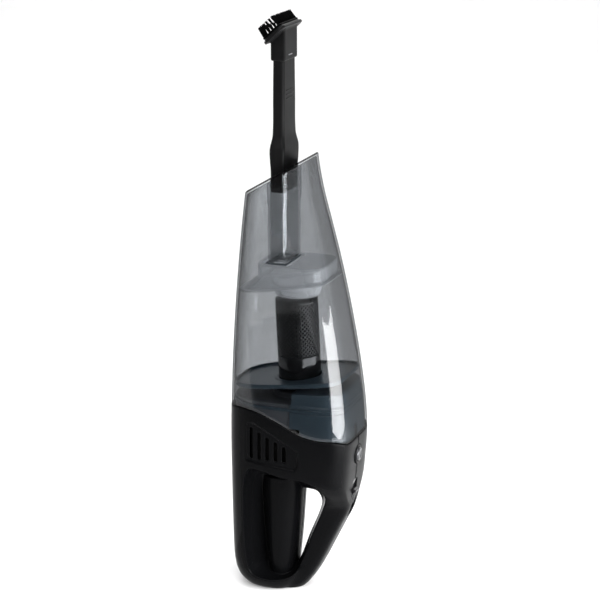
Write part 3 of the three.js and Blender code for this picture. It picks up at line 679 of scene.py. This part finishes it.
def vent_pocket(lattice):
    """Distance to the shallow pocket round the vents, on both sides."""
    outline = np.array([
        (-22.5, 135.2), (26, 131.4), (29, 137), (27.6, 149.4), (3, 163), (-15, 171.6), (-21.6, 170),
    ], float)
    outline = outline_distance(lattice.x[:, 0], lattice.z[:, 0], outline)[:, None]
    return both(outline - 0.4, -lattice.hull(1.2), 0.5)


def vent_slots(lattice):
    """Distance to the vent slots on both sides."""
    slots = []
    for i in range(5):
        x = VENT_X + VENT_PITCH * i
        top = VENT_TOP_Z - VENT_PITCH * VENT_FALL * i
        low, high = (x - VENT_HALF_WIDTH, -80, VENT_BOTTOM_Z), (x + VENT_HALF_WIDTH, 80, top)
        slots.append(lattice.box(low, high, 1.6))
    return np.maximum(functools.reduce(np.minimum, slots), 36 - np.abs(lattice.y))


def body_field(lattice):
    """Distance to the body, both shells as one."""
    z = lattice.z
    hull = lattice.hull()
    belly = lattice.tube(belly_x, belly_front, belly_half, BELLY_POWER)
    handle = lattice.tube(handle_back, handle_front, handle_half, handle_power)
    foot = both(lattice.tube(belly_x, foot_front, foot_half, 2.4), z - 22, 6)
    low = both(joined(joined(belly, handle, 2), foot, 5), hull)
    rise = np.clip((z - 112) / 26, 0, 1)
    rise = rise**2 * (3 - 2 * rise)
    form = low + (hull - low) * rise
    spine = both(form - 0.45, np.maximum(np.abs(lattice.y) - 1.3, 50 - lattice.x), 0.5)
    spine = np.maximum(spine, np.maximum(106 - z, z - 158))
    form = joined(form, spine, 0.4)
    form = joined(form, lattice.box((-30, -16, 92), (40, 16, 128), 2))
    form = without(form, hand_opening(lattice), 1.2)
    column = lattice.tube(lambda h: -column_reach(h), column_reach, column_half, 2.3)
    column = np.maximum(column, np.maximum(3 - z, z - 112))
    form = joined(form, column, 1.0)
    form = both(form, lattice.under_split(), 1.0)
    form = both(form, 0.4 - z, 0.6)
    return form


def body_rooms(lattice):
    """Distance to the hollows inside the shells."""
    z = lattice.z
    belly_room = lattice.tube(lambda h: belly_x(h) + 3, -30, lambda h: belly_half(h) - 16, 2.6)
    handle_room = lattice.tube(
        smooth_curve((26, 23), (49, 29.5), (66, 36.5)),
        smooth_curve((26, 35), (49, 46.5), (66, 54)), 11, 3,
    )
    rooms = [
        np.maximum(lattice.hull(SHELL_WALL), 127 - z),
        lattice.box((-22, -19.5, 117), (58, 19.5, 130), 1),
        lattice.box((-10.75, -19.2, 34), (10.75, 19.2, 107), 8),
        lattice.bar("z", (4, 0), 100, 122, 4),
        lattice.bar("x", (0, BUTTON_Z), 60, 90, 9.3),
        lattice.bar("x", (0, CHARGE_Z), -60, -36, 5.3),
        np.maximum(belly_room, np.maximum(12 - z, z - 106)),
        np.maximum(handle_room, np.maximum(26 - z, z - 66)),
        lattice.box((-34, -3, 92), (0, 3, 100), 0.5),
        lattice.box((46, -3, 60), (50, 3, 122), 0.5),
    ]
    turn = (SWITCH_LEAN, SWITCH_X, SWITCH_Z)
    rooms += [
        lattice.box((-16, -8, -15), (-4.6, 8, 15), 0.5, turn),
        lattice.box((-3.6, -5.6, -18.5), (14, 5.6, 18.5), 2.2, turn),
        lattice.box((-6, -2.4, -9), (0, 2.4, 12), 0.5, turn),
    ]
    pad = (np.sqrt(((lattice.x + 2) / 20.3) ** 2 + (lattice.y / 15.3) ** 2) - 1) * 15
    rooms.append(np.maximum(pad, z - 2.5))
    for x, height, seat in SCREWS:
        rooms.append(lattice.bar("y", (x, height), -9.3, seat + 1, SCREW_SHANK + GAP))
        rooms.append(lattice.bar("y", (x, height), seat - GAP, 60, SCREW_HEAD + GAP))
    return functools.reduce(np.minimum, rooms)


def make_body():
    """The two shells, cut from one form along the middle plane."""
    lattice = Lattice((-51, -48.4, -1.2), (76.5, 48.4, 187), 0.7, 1.3)
    form = body_field(lattice)
    form = without(form, body_rooms(lattice), 0.5)
    form = without(form, vent_pocket(lattice), 1)
    form = without(form, vent_slots(lattice), 0.5)
    for side, name in ((-1, "left"), (1, "right")):
        shell = both(form, GAP / 2 - side * lattice.y, 0.4)
        mesh_piece(f"shell_{name}", "body", "black", polygonised(lattice, shell),
                   [f"body_shell_{name}"])


# ---------------- cup and duct


def hull_outline(z, inset, count=192):
    """The outer form's outline where each of its points has its own height."""
    z = np.broadcast_to(z, count)
    angle = 2 * np.pi * (np.arange(count) + 0.5) / count
    across, along = np.cos(angle), np.sin(angle)
    power = np.where(across > 0, FRONT_POWER, BELLY_POWER)
    radius = (np.abs(across) ** power + np.abs(along) ** power) ** (-1 / power)
    back, front = belly_x(z), front_x(z)
    x = (back + front) / 2 + ((front - back) / 2 - inset) * radius * across
    return np.column_stack([x, (half_width(z) - inset) * radius * along])


def hull_ring(height, inset):
    """A ring on the outer form whose height depends on X."""
    z = np.full(192, 300.0)
    for _ in range(12):
        outline = hull_outline(z, inset)
        z = height(outline[:, 0])
    return np.column_stack([hull_outline(z, inset), z])


def mouth_ring(inset, depth):
    """A ring parallel to the mouth plane, depth below it."""
    return hull_ring(lambda x: MOUTH_Z + MOUTH_SLOPE * x - depth / math.cos(MOUTH_TILT), inset)


def on_mouth(points, depth):
    """Points in X and Y lifted to the mouth plane, moved back by depth."""
    return level(points, MOUTH_Z + MOUTH_SLOPE * points[:, 0] - depth / math.cos(MOUTH_TILT))


def wall_rings(inset, bottom, top, count):
    """Rings up a wall, from one ring to another, that keep to the outer form."""
    rings = []
    for share in np.linspace(0, 1, count):
        z = bottom[:, 2] + (top[:, 2] - bottom[:, 2]) * share
        rings.append(np.column_stack([hull_outline(z, inset), z]))
    return rings


def make_cup():
    """The clear cup: an outer wall, a rounded mouth with the duct's opening, and an inner wall."""
    skin_inset = 0.25
    edge = 1.5
    floor = CUP_WALL + 0.6
    angle = np.linspace(0, np.pi / 2, 7)
    opening = round_rectangle(*DUCT_BORE, 192)

    def split(rise):
        return lambda x: split_z(x) + GAP + rise

    outer_low = hull_ring(split(0.5), skin_inset)
    outer_top = mouth_ring(skin_inset, edge)
    rings = [hull_ring(split(0.0), skin_inset + 0.5), hull_ring(split(0.12), skin_inset + 0.14)]
    rings += wall_rings(skin_inset, outer_low, outer_top, 70)
    edge_start = len(rings) - 1
    rings += [
        mouth_ring(skin_inset + edge * (1 - math.cos(a)), edge * (1 - math.sin(a))) for a in angle[1:]
    ]
    lip = rings[-1]
    opening = opening[match_start(lip, opening)]
    for share in np.linspace(0, 1, 9)[1:-1]:
        rings.append(on_mouth(lip[:, :2] + (opening - lip[:, :2]) * share, 0))
    rings += [on_mouth(opening, depth) for depth in (0, 0.3, floor)]
    inner_lip = mouth_ring(CUP_WALL + 1.2, floor)
    for share in np.linspace(0, 1, 7)[1:-1]:
        rings.append(on_mouth(opening + (inner_lip[:, :2] - opening) * share, floor))
    rings.append(inner_lip)
    edge_end = len(rings) - 1
    rings.append(mouth_ring(CUP_WALL + 0.35, floor + 0.35))
    inner_top = mouth_ring(CUP_WALL, floor + 1.2)
    inner_low = hull_ring(split(0.5), CUP_WALL)
    rings += wall_rings(CUP_WALL, inner_top, inner_low, 70)
    rings += [hull_ring(split(0.12), CUP_WALL - 0.14), hull_ring(split(0.0), CUP_WALL - 0.5)]
    cup = mesh_piece("cup", "cup", "clear", skin(rings, loop=True), ["dust_cup"])
    cup.data.materials.append(MATERIAL["mouth_edge"])
    around = len(opening)
    for face in cup.data.polygons[edge_start * around:edge_end * around]:
        face.material_index = 1


def match_start(ring, outline):
    """Indices that turn an outline so that its points line up with a ring's directions."""
    def direction(points):
        centre = points[:, :2].mean(axis=0)
        return np.unwrap(np.arctan2(points[:, 1] - centre[1], points[:, 0] - centre[0]))

    aim, have = direction(ring), direction(outline)
    shift = int(np.argmin(np.abs(np.angle(np.exp(1j * (have - aim[0]))))))
    return (np.arange(len(outline)) + shift) % len(outline)


def make_duct():
    """The inlet duct, with a band round its middle and a flange under the mouth."""
    outer = [(321, 9.2, 21.4), (321.4, 9.3, 21.5), (348.8, 9.3, 21.5), (349.2, 10, 22.2),
             (351.6, 10, 22.2), (352, 9.3, 21.5), (373.4, 9.3, 21.5), (374.2, 10, 22.2)]
    rings = [level(round_rectangle(x, y, 5), z) for z, x, y in outer]
    rings.append(on_mouth(round_rectangle(10, 22.2, 5), 3.0))
    rings.append(on_mouth(round_rectangle(*DUCT_BORE), 3.0))
    rings.append(level(round_rectangle(*DUCT_BORE), 321.4))
    rings.append(level(round_rectangle(7.6, 19.8, 4), 321))
    duct = mesh_piece("duct", "cup", "light_clear", skin(rings, loop=True),
                      ["inlet_duct"])
    duct.data.shade_flat()
    duct.data.set_sharp_from_angle(angle=math.radians(35))
    duct.data.shade_smooth()


def make_deflector():
    """The frosted partition under the duct: a sloping brim, a raised box and a bowl."""
    lattice = Lattice((-46, -40, 281), (60, 40, 322), 0.6, 1.0)
    x, z = lattice.x, lattice.z
    wall = CUP_WALL + GAP + 0.3
    inside_cup = lattice.hull(wall)
    brim_z = 297 + 0.16 * x
    brim = both(inside_cup, np.abs(z - brim_z) - 0.8, 0.3)
    span = np.clip((z - brim_z) / (306 - brim_z), 0, 1)
    hull_inset = lattice.hull(wall + 2.4)
    box = lattice.tube(-20, 45, 31, 4, FRONT_POWER)
    shape = hull_inset + (box - hull_inset) * span
    top = z - 319
    outside = both(both(shape, top, 2.5), brim_z - 0.8 - z, 0.2)
    inside = both(both(shape + 1.6, top + 1.6, 2), brim_z - 3 - z)
    field = joined(brim, without(outside, inside), 0.6)
    side = np.sqrt((x - 13) ** 2 + lattice.y**2)
    field = without(field, np.maximum(side - 22, z - 312), 0.3)
    bowl_side = (side - 20.4 - (z - 286.8) * 0.27) * 0.965
    bowl = both(both(bowl_side, 286.8 - z, 2), z - 299.6)
    bowl = without(bowl, both(bowl_side + 1.3, 288 - z, 1.4))
    field = joined(field, bowl, 0.4)
    field = without(field, lattice.box((-14, -24, 310), (14, 24, 330), 5), 0.3)
    mesh_piece("partition", "cup", "frosted", polygonised(lattice, field),
               ["deflector"])


def make_flap():
    """The inlet flap: a frame on a hinge barrel, with a clear membrane."""
    lattice = Lattice((-12, -22, 315.5), (11, 22, 321), 0.5, 0.8)
    leaf = joined(lattice.box((-9, -20.5, 317.5), (9.4, 20.5, 319.1), 0.7),
                  lattice.bar("y", (FLAP_PIN_X, FLAP_PIN_Z), -20.5, 20.5, 1.5), 0.5)
    leaf = without(leaf, lattice.bar("y", (FLAP_PIN_X, FLAP_PIN_Z), -30, 30, 0.7))
    leaf = without(leaf, lattice.box((-6.8, -18.7, 310), (7.6, 18.7, 325), 1.5), 0.3)
    mesh_piece("flap_leaf", "flap", "navy", polygonised(lattice, leaf),
               ["inlet_flap"])
    membrane = [level(round_rectangle(7.4, 18.9, 1.4), z) + (0.4, 0, 0) for z in (318, 318.5)]
    mesh_piece("flap_membrane", "flap", "light_clear", skin(membrane))


# ---------------- collar, tray and filter


def make_collar():
    """The front collar: a shell inside the cup, higher in front, with a neck for the filter."""
    lattice = Lattice((-48, -45, 148), (74, 45, 207), 0.8, 1.2)
    x, z = lattice.x, lattice.z
    inset = SHELL_WALL + GAP
    left_step = np.clip((20 - x) / 1.2, 0, 1) * np.clip((z - 165) / 2, 0, 1) * 1.6
    outside = both(lattice.hull(inset) + left_step, z - COLLAR_TOP_Z, 1.0)
    outside = np.maximum(outside, 150 - z)
    shoulder = np.array([
        (21, 150), (21, 203), (59, 204.8), (64.5, 203.6), (68.4, 200), (70.6, 194), (71, 150),
    ], float)
    shoulder = outline_distance(x[:, 0], z[:, 0], shoulder)[:, None]
    front = both(both(lattice.hull(inset + 0.8), shoulder, 1.0), 186 - z)
    front = without(front, lattice.bar("z", (FILTER_X, 0), 198.6, 220, 24.6), 0.5)
    neck = lattice.bar("z", (FILTER_X, 0), 190, 198.6, 25)
    form = joined(joined(outside, front, 0.6), neck, 0.6)
    hollow = both(lattice.hull(inset + 3.2), z - 189.5, 1)
    form = without(form, hollow)
    groove = both(both(-lattice.hull(inset + 1.6), 186.2 - z), z - 189.4)
    form = without(form, groove, 0.3)
    form = without(form, lattice.bar("z", (FILTER_X, 0), 170, 220, 17.6), 0.5)
    form = without(form, lattice.box((56.8, -4, 130), (74, 4, 168)), 0.3)
    form = without(form, lattice.box((-22, -60, 140), (30, 60, 170), 1), 0.3)
    collar = mesh_piece("collar", "body", "navy", polygonised(lattice, form),
                        ["front_collar"])
    # Faces short of X = 20.4 mm take the lighter grey: a painted reflection on the collar's left part,
    # which is the same navy plastic.
    collar.data.materials.append(MATERIAL["collar_painted_reflection"])
    for face in collar.data.polygons:
        face.material_index = int(face.center.x < 20.4 * MM)


def make_tray():
    """The slanting filter tray: a plate with a rim, and a ring that holds the filter."""
    lattice = Lattice((-47, -43, 196), (68, 43, 219), 0.6, 1.0)
    z = lattice.turned(TRAY_TILT, FILTER_X, TRAY_Z)[2]
    rim_form = lattice.hull(3.2)
    plate = both(rim_form, np.maximum(-z, z - 2), 0.6)
    rim = both(both(rim_form, -lattice.hull(5.4), 0.4), np.maximum(1.8 - z, z - 4.1), 0.6)
    fx, fy, fz = lattice.turned(FILTER_TILT, FILTER_X, FILTER_Z)
    side = np.sqrt(fx**2 + fy**2)
    boss = both(side - FILTER_RADIUS - 3.6, np.abs(fz) - 4, 0.6)
    form = joined(joined(plate, rim, 0.5), boss, 0.6)
    form = without(form, side - FILTER_RADIUS + 2.6, 0.3)
    form = without(form, np.maximum(side - FILTER_RADIUS - 0.5, -0.8 - fz), 0.3)
    mesh_piece("tray", "body", "navy", polygonised(lattice, form), ["filter_tray"])


def on_filter(surface):
    """A surface made round the filter's own axis, put in place."""
    points, faces = surface
    return turned_y(points, FILTER_TILT, FILTER_X, FILTER_Z), faces


def make_filter():
    """The filter: a glossy band, a screen of diamond holes above it and a cap."""
    band_top = 25
    outer, inner = FILTER_RADIUS, FILTER_RADIUS - 1.4
    band = rounded_profile([(inner, -0.4), (outer, -0.4), (outer, band_top), (inner, band_top)], 0.5)
    rows, columns = 26, 64
    pitch_z = (FILTER_TOP - 0.6 - band_top) / rows
    pitch_turn = 2 * math.pi / columns

    def on_screen(column, row, radius):
        angle = column * pitch_turn
        return (radius * math.cos(angle), radius * math.sin(angle), band_top + row * pitch_z)

    corners = [(1, 0), (0.5, 0.5), (0, 1), (-0.5, 0.5), (-1, 0), (-0.5, -0.5), (0, -1), (0.5, -0.5)]
    holes = [(0.6, 0), (0.36, 0.36), (0, 0.6), (-0.36, 0.36), (-0.6, 0), (-0.36, -0.36), (0, -0.6),
             (0.36, -0.36)]
    vertices, faces = [], []
    for row in range(1, rows):
        for column in range(row % 2, columns, 2):
            start = len(vertices)
            for radius in (outer, inner + 0.5):
                for ring in (corners, holes):
                    vertices += [on_screen(column + a, row + b, radius) for a, b in ring]
            for i in range(8):
                j = (i + 1) % 8
                faces.append([start + i, start + j, start + 8 + j, start + 8 + i])
                faces.append([start + 8 + i, start + 8 + j, start + 24 + j, start + 24 + i])
                faces.append([start + 16 + j, start + 16 + i, start + 24 + i, start + 24 + j])
    top = FILTER_TOP
    rim = rounded_profile(
        [(inner, top - 1.8), (outer + 0.15, top - 1.8), (outer + 0.15, top), (inner, top)], 0.5,
    )
    bands = merged([skin(spun(band), loop=True), skin(spun(rim), loop=True)])
    mesh_piece("filter_band", "filter", "band", on_filter(bands), ["filter_cage"])
    mesh_piece("filter_screen", "filter", "mesh", on_filter((vertices, faces)))
    cap = [(0.01, top - 3), (outer - 2.2, top - 3), (outer - 2.2, top + 0.3), (outer, top + 0.3),
           (outer, top + 0.9), (outer - 0.5, top + 1.8), (outer - 1.6, top + 2.2), (0.01, top + 2.2)]
    mesh_piece("filter_top", "filter", "mesh", on_filter(skin(spun(cap))),
               ["filter_cap"])


# ---------------- crevice tool and brush


def make_tool():
    """The crevice tool: a hollow flat nozzle with a shoulder, and three grip ribs on each side."""
    low, high = TOOL_BOTTOM_Z, TOOL_TOP_Z
    half_x = smooth_curve(
        (low, 6.7), (406, 7.0), (412, 7.3), (424, 7.4), (436, 5.8), (470, 5.6), (high, 5.4),
    )
    half_y = smooth_curve(
        (low, 18.8), (406, 19.2), (412, 19.8), (424, 20), (436, 16.8), (470, 15.9), (high, 14.8),
    )

    def section(z, inset, radius):
        return level(round_rectangle(float(half_x(z)) - inset, float(half_y(z)) - inset, radius), z)

    rings = [section(low + up, inset, 2.6) for up, inset in ((0.4, 0.5), (0.55, 0.15), (0.9, 0))]
    rings += [section(z, 0, 3) for z in np.linspace(low + 1.5, high - 0.8, 110)]
    rings += [section(high - down, inset, 2.6) for down, inset in ((0.3, 0.15), (0, 0.5), (0, 1.3))]
    rings += [section(z, 1.8, 1.4) for z in np.linspace(high - 0.4, low + 0.8, 60)]
    rings.append(section(low + 0.4, 1.3, 2))
    parts = [skin(rings, loop=True)]
    for side in (-1, 1):
        for z in (469, 472.6, 476.2):
            surface = float(half_x(z))
            profile = []
            for y in np.linspace(-9, 9, 19):
                rise = 0.75 * math.sqrt(max(0, 1 - (y / 9) ** 2) + 0.02)
                turn = np.linspace(-np.pi / 2, np.pi / 2, 7)
                profile.append([
                    (side * (surface - 0.3 + (rise + 0.3) * math.cos(a)), y, z + 0.62 * math.sin(a) * side)
                    for a in turn
                ] + [(side * (surface - 0.6), y, z)])
            parts.append(skin(np.array(profile)[:, ::-1]))
    mesh_piece("crevice_nozzle", "tool", "tool", merged(parts), ["crevice_tool"])


def make_brush():
    """The brush: a straight sleeve that slips over the tool, under a slanting plate with a lip."""
    lattice = Lattice((-18, -30, 501), (16, 30, 542), 0.45, 0.8)
    bx, by, bz = lattice.turned(-BRUSH_TILT, BRUSH_X, BRUSH_Z)
    half_x, half_y = BRUSH_WIDTH / 2, BRUSH_LENGTH / 2
    sleeve = both(lattice.box((-6.9, -16.4, BRUSH_Z - 26.4), (6.9, 16.4, 560), 1.6), bz + 2)
    flange = both(flat_rectangle(bx, by, half_x, half_y, 6.5), np.abs(bz + 2.9) - 1.3, 0.9)
    lip = both(flat_rectangle(bx, by, half_x - 1.5, half_y - 1.5, 5.5), np.abs(bz + 1.2) - 0.9, 0.5)
    form = joined(joined(sleeve, flange, 1.5), lip, 0.4)
    form = without(form, lattice.box((-5.85, -15.3, 480), (5.85, 15.3, 521.6), 1), 0.3)
    form = without(form, lattice.box((BRUSH_X - 3, -12, 515), (BRUSH_X + 3, 12, 550), 2.5), 0.4)
    mesh_piece("brush_head", "brush", "tool", polygonised(lattice, form),
               ["brush_body"])
    # The small catch on the sleeve is pale grey, a painted highlight on the raised pip.
    catch = [level(round_rectangle(4.6 - inset, 0.5 - inset, 0.4 - inset), height)
             for height, inset in ((6.6, 0), (7.1, 0), (7.25, 0.15))]
    catch = [ring[:, [2, 0, 1]] + (0, -2.5, 508) for ring in catch]
    mesh_piece("brush_catch", "brush", "catch", skin(catch))
    make_bristles()


def flat_rectangle(x, y, half_x, half_y, radius):
    """Distance in a plane to a rectangle with round corners."""
    u, v = np.abs(x) - half_x + radius, np.abs(y) - half_y + radius
    outside = np.sqrt(np.maximum(u, 0) ** 2 + np.maximum(v, 0) ** 2)
    return outside + np.minimum(np.maximum(u, v), 0) - radius


def make_bristles():
    """Dense tufts of tapered bristles on a thin base."""
    random = np.random.default_rng(7)
    lattice = Lattice((-13, -28, -1.2), (13, 28, 2.6), 0.6)
    x, y = lattice.x, lattice.y
    base = both(flat_rectangle(x, y, 11, 25.5, 5), np.abs(lattice.z - 0.8) - 0.8, 0.4)
    base = without(base, flat_rectangle(x, y, 4.5, 13.5, 3))
    parts = [polygonised(lattice, base)]
    tufts = [(9, ty) for ty in np.linspace(-22, 22, 14)]
    tufts += [(6.6, ty) for ty in np.linspace(-15.8, 15.8, 10)]
    tufts += [(-9, ty) for ty in (-22, -13.2, -4.4, 4.4, 13.2, 22)]
    tufts += [(tx, ty) for tx in (-7.2, -5.4, -1.8, 1.8, 5.4) for ty in (-22, 22)]
    turn = 2 * np.pi * np.arange(5) / 5
    section = np.column_stack([np.cos(turn), np.sin(turn)])
    for tx, ty in tufts:
        for _ in range(26):
            spread, way = 0.95 * math.sqrt(random.random()), random.uniform(0, 2 * math.pi)
            ox, oy = spread * math.cos(way), spread * math.sin(way)
            lean_x = max(0.0, -tx - 3) * 0.03 + ox * 0.02 + random.normal(0, 0.012)
            lean_y = ty * 0.002 + oy * 0.02 + random.normal(0, 0.012)
            length = 9.8 + random.normal(0, 0.2)
            bend = random.normal(0, 0.12, 2)
            rings = []
            for share, width in ((0, 0.24), (0.35, 0.23), (0.7, 0.21), (1, 0.15)):
                height = 1.2 + length * share
                cx = tx + ox + lean_x * height + bend[0] * share**2
                cy = ty + oy + lean_y * height + bend[1] * share**2
                rings.append(level(section * width + (cx, cy), height))
            parts.append(skin(rings))
    vertices, faces = merged(parts)
    vertices = turned_y(vertices, -BRUSH_TILT, BRUSH_X, BRUSH_Z)
    mesh_piece("brush_bristles", "brush", "bristle", (vertices, faces), ["bristles"])


# ---------------- button, switch and screws


def make_button():
    """The round button, dished, in its bezel."""
    def placed(profile, loop=False):
        rings = [
            np.column_stack([ring[:, 2], ring[:, 0], ring[:, 1] + BUTTON_Z]) for ring in spun(profile)
        ]
        return skin(rings, loop=loop)

    face, radius = BUTTON_FACE_X, BUTTON_RADIUS
    cap = [(0.01, 64), (radius, 64), (radius, face + 1.2), (radius - 0.2, face + 1.9),
           (radius - 0.8, face + 2.5), (radius - 1.6, face + 2.8), (radius - 2.4, face + 2.6),
           (radius - 3.6, face + 2.2), (radius - 5, face + 2.0), (0.01, face + 1.9)]
    mesh_piece("button_cap", "button", "gloss", placed(cap), ["release_button"])
    bezel = rounded_profile([(radius + GAP, 70), (9, 70), (9, face + 1), (radius + GAP, face + 1)], 0.7)
    mesh_piece("button_ring", "body", "black", placed(bezel, loop=True),
               ["button_bezel"])


def make_switch():
    """The switch: a bed sunk in the handle and a ribbed knob with a raised end."""
    lattice = Lattice((-6.5, -6.5, -20), (5.2, 6.5, 20), 0.35, 0.5)

    def placed(field):
        vertices, faces = polygonised(lattice, field)
        return turned_y(vertices, SWITCH_LEAN, SWITCH_X, SWITCH_Z), faces

    plate = lattice.box((-3.2, -5.2, -18.1), (-1.6, 5.2, 18.1), 0.6)
    plate = without(plate, lattice.box((-6, -2, -7.5), (2, 2, 10.5), 0.3), 0.3)
    mesh_piece("switch_bed", "body", "band", placed(plate), ["switch_plate"])
    crown = smooth_curve((-7.5, 0.2), (-6, 1.6), (4.6, 1.9), (7.6, 3.6), (9.4, 3.2), (9.9, 0.5))
    block = lattice.box((-1.2, -4.3, -7.3), (5, 4.3, 9.7), 0.8)
    knob = both(block, lattice.x - crown(lattice.z), 0.6)
    for i in range(6):
        height = -5.6 + i * 1.9
        rib = lattice.box((0.6, -4.0, height - 0.42), (2.75, 4.0, height + 0.42), 0.4)
        knob = joined(knob, rib, 0.3)
    knob = joined(knob, lattice.box((-5.2, -1.6, -3), (0, 1.6, 3), 0.3))
    mesh_piece("switch_slider", "switch", "band", placed(knob), ["switch_knob"])


def make_screws():
    """Cross-head screws, heads on the right side."""
    for number, (x, z, seat) in enumerate(SCREWS, 1):
        lattice = Lattice((x - 3.6, -9.4, z - 3.6), (x + 3.6, seat + 3, z + 3.6), 0.4)
        head = lattice.bar("y", (x, z), seat, seat + 2.4, SCREW_HEAD)
        dome = np.sqrt((lattice.x - x) ** 2 + (lattice.z - z) ** 2 + (lattice.y - seat + 1) ** 2) - 3.9
        head = both(head, dome, 0.3)
        shank = lattice.bar("y", (x, z), -9, seat + 0.5, SCREW_SHANK - 0.15)
        turn = np.arctan2(lattice.z - z, lattice.x - x)
        thread = 0.2 * np.sin(2 * np.pi * lattice.y / 1.1 + turn)
        form = joined(head, shank + thread, 0.2)
        for half_x, half_z in ((2.1, 0.45), (0.45, 2.1)):
            low, high = (x - half_x, seat + 1.2, z - half_z), (x + half_x, seat + 5, z + half_z)
            form = without(form, lattice.box(low, high, 0.2), 0.2)
        mesh_piece(f"screw_{number}", "body", "steel", polygonised(lattice, form),
                   [f"body_screw_{number}"])


# ---------------- studio


def paper(name, dark, light, specular, emission):
    """Faintly mottled grey card, from one grey level to another."""
    n = Nodes(name)
    shader = n.add("ShaderNodeBsdfPrincipled", Roughness=0.9)
    shader.inputs["Specular IOR Level"].default_value = specular
    shader.inputs["Emission Color"].default_value = (1, 1, 1, 1)
    shader.inputs["Emission Strength"].default_value = emission
    n.link(n.blend(n.noise(8, 3), (dark,) * 3, (light,) * 3), shader.inputs["Base Color"])
    return n.finish(shader.outputs[0])


def studio_piece(name, vertices, faces, material):
    """A studio mesh, in metres, square to the camera."""
    mesh = bpy.data.meshes.new(name)
    mesh.from_pydata(vertices, [], faces)
    mesh.shade_smooth()
    mesh.materials.append(material)
    piece = bpy.data.objects.new(name, mesh)
    piece.rotation_euler = (0, 0, math.radians(VIEW_AZIMUTH))
    bpy.context.scene.collection.objects.link(piece)
    return piece


def softbox(name, azimuth, elevation, distance, width, height, power, aim=(0.012, 0, 0.28)):
    """A rectangular light that looks at the aim point from a direction like the camera's."""
    light = bpy.data.lights.new(name, "AREA")
    light.shape = "RECTANGLE"
    light.size, light.size_y = width, height
    light.energy = power
    lamp = bpy.data.objects.new(name, light)
    lamp.visible_camera = False
    bpy.context.scene.collection.objects.link(lamp)
    place(lamp, azimuth, elevation, distance, aim)
    return lamp


def place(thing, azimuth, elevation, distance, aim):
    """Puts an object at a direction and distance from a point, looking at it."""
    a, e = math.radians(azimuth), math.radians(elevation)
    away = Vector((math.sin(a) * math.cos(e), -math.cos(a) * math.cos(e), math.sin(e)))
    thing.location = Vector(aim) + away * distance
    thing.rotation_euler = away.to_track_quat("Z", "Y").to_euler()


def dark_flag():
    """A dark sheet on the floor in front, seen only in reflections, that keeps them dark."""
    corners = [(-1.5, -2.4, 0.004), (0.9, -2.4, 0.004), (0.9, -0.38, 0.004), (-1.5, -0.38, 0.004)]
    flag = studio_piece("studio_flag", corners, [(0, 1, 2, 3)],
                        paper("studio_flag", 0.01, 0.014, specular=0, emission=0))
    flag.visible_camera = False
    flag.visible_diffuse = False
    flag.visible_shadow = False
    return flag


def curved_floor():
    """A floor that bends up into a wall behind the object."""
    bend, floor_depth, wall = 1.0, 6.0, 6.0
    turn = np.linspace(0, np.pi / 2, 24)
    profile = [(-floor_depth, 0.0)]
    profile += [(bend * math.sin(a), bend * (1 - math.cos(a))) for a in turn]
    profile += [(bend, wall)]
    rows = [[(x, y + 1.2, z) for y, z in profile] for x in (-8, 8)]
    vertices = [p for row in rows for p in row]
    n = len(profile)
    faces = [(i, i + n, i + n + 1, i + 1) for i in range(n - 1)]
    return studio_piece("studio_floor", vertices, faces,
                        paper("studio_paper", 0.86, 0.9, specular=0.1, emission=0.12))


def make_studio():
    """The floor, the world, the lights and the camera."""
    scene = bpy.context.scene
    floor = curved_floor()
    flag = dark_flag()

    world = bpy.data.worlds.new("studio_world")
    world.use_nodes = True
    background = world.node_tree.nodes["Background"].inputs
    background["Color"].default_value = (1, 1, 1, 1)
    background["Strength"].default_value = 0.16
    scene.world = world
    softbox("low_right", 76, -9.7, 0.55, 0.9, 0.28, 13, aim=(0.04, 0, 0.24))
    softbox("wide_left", -75, 14, 1.6, 0.5, 1.2, 2)
    softbox("front_fill", 5, 35, 1.7, 1.0, 0.8, 12)
    softbox("top", 30, 72, 2.2, 1.8, 1.8, 52)
    backdrop = softbox("backdrop", 200, 0, 1, 2.4, 0.8, 62)
    backdrop.location = (-0.3, 0.9, 1.7)
    backdrop.rotation_euler = (math.radians(125), 0, math.radians(VIEW_AZIMUTH))

    camera = bpy.data.cameras.new("camera")
    camera.lens = 120
    camera.sensor_width = 36
    camera.clip_end = 50
    view = bpy.data.objects.new("camera", camera)
    scene.collection.objects.link(view)
    place(view, VIEW_AZIMUTH, 15.5, 1.84, (0.01517, 0, 0.281))
    scene.camera = view
    scene.view_settings.view_transform = "Standard"
    scene.view_settings.look = "None"
    scene.cycles.max_bounces = 16
    scene.cycles.transparent_max_bounces = 32


make_body()
make_cup()
make_duct()
make_deflector()
make_flap()
make_collar()
make_tray()
make_filter()
make_tool()
make_brush()
make_button()
make_switch()
make_screws()
finish_cad_nodes()
make_studio()
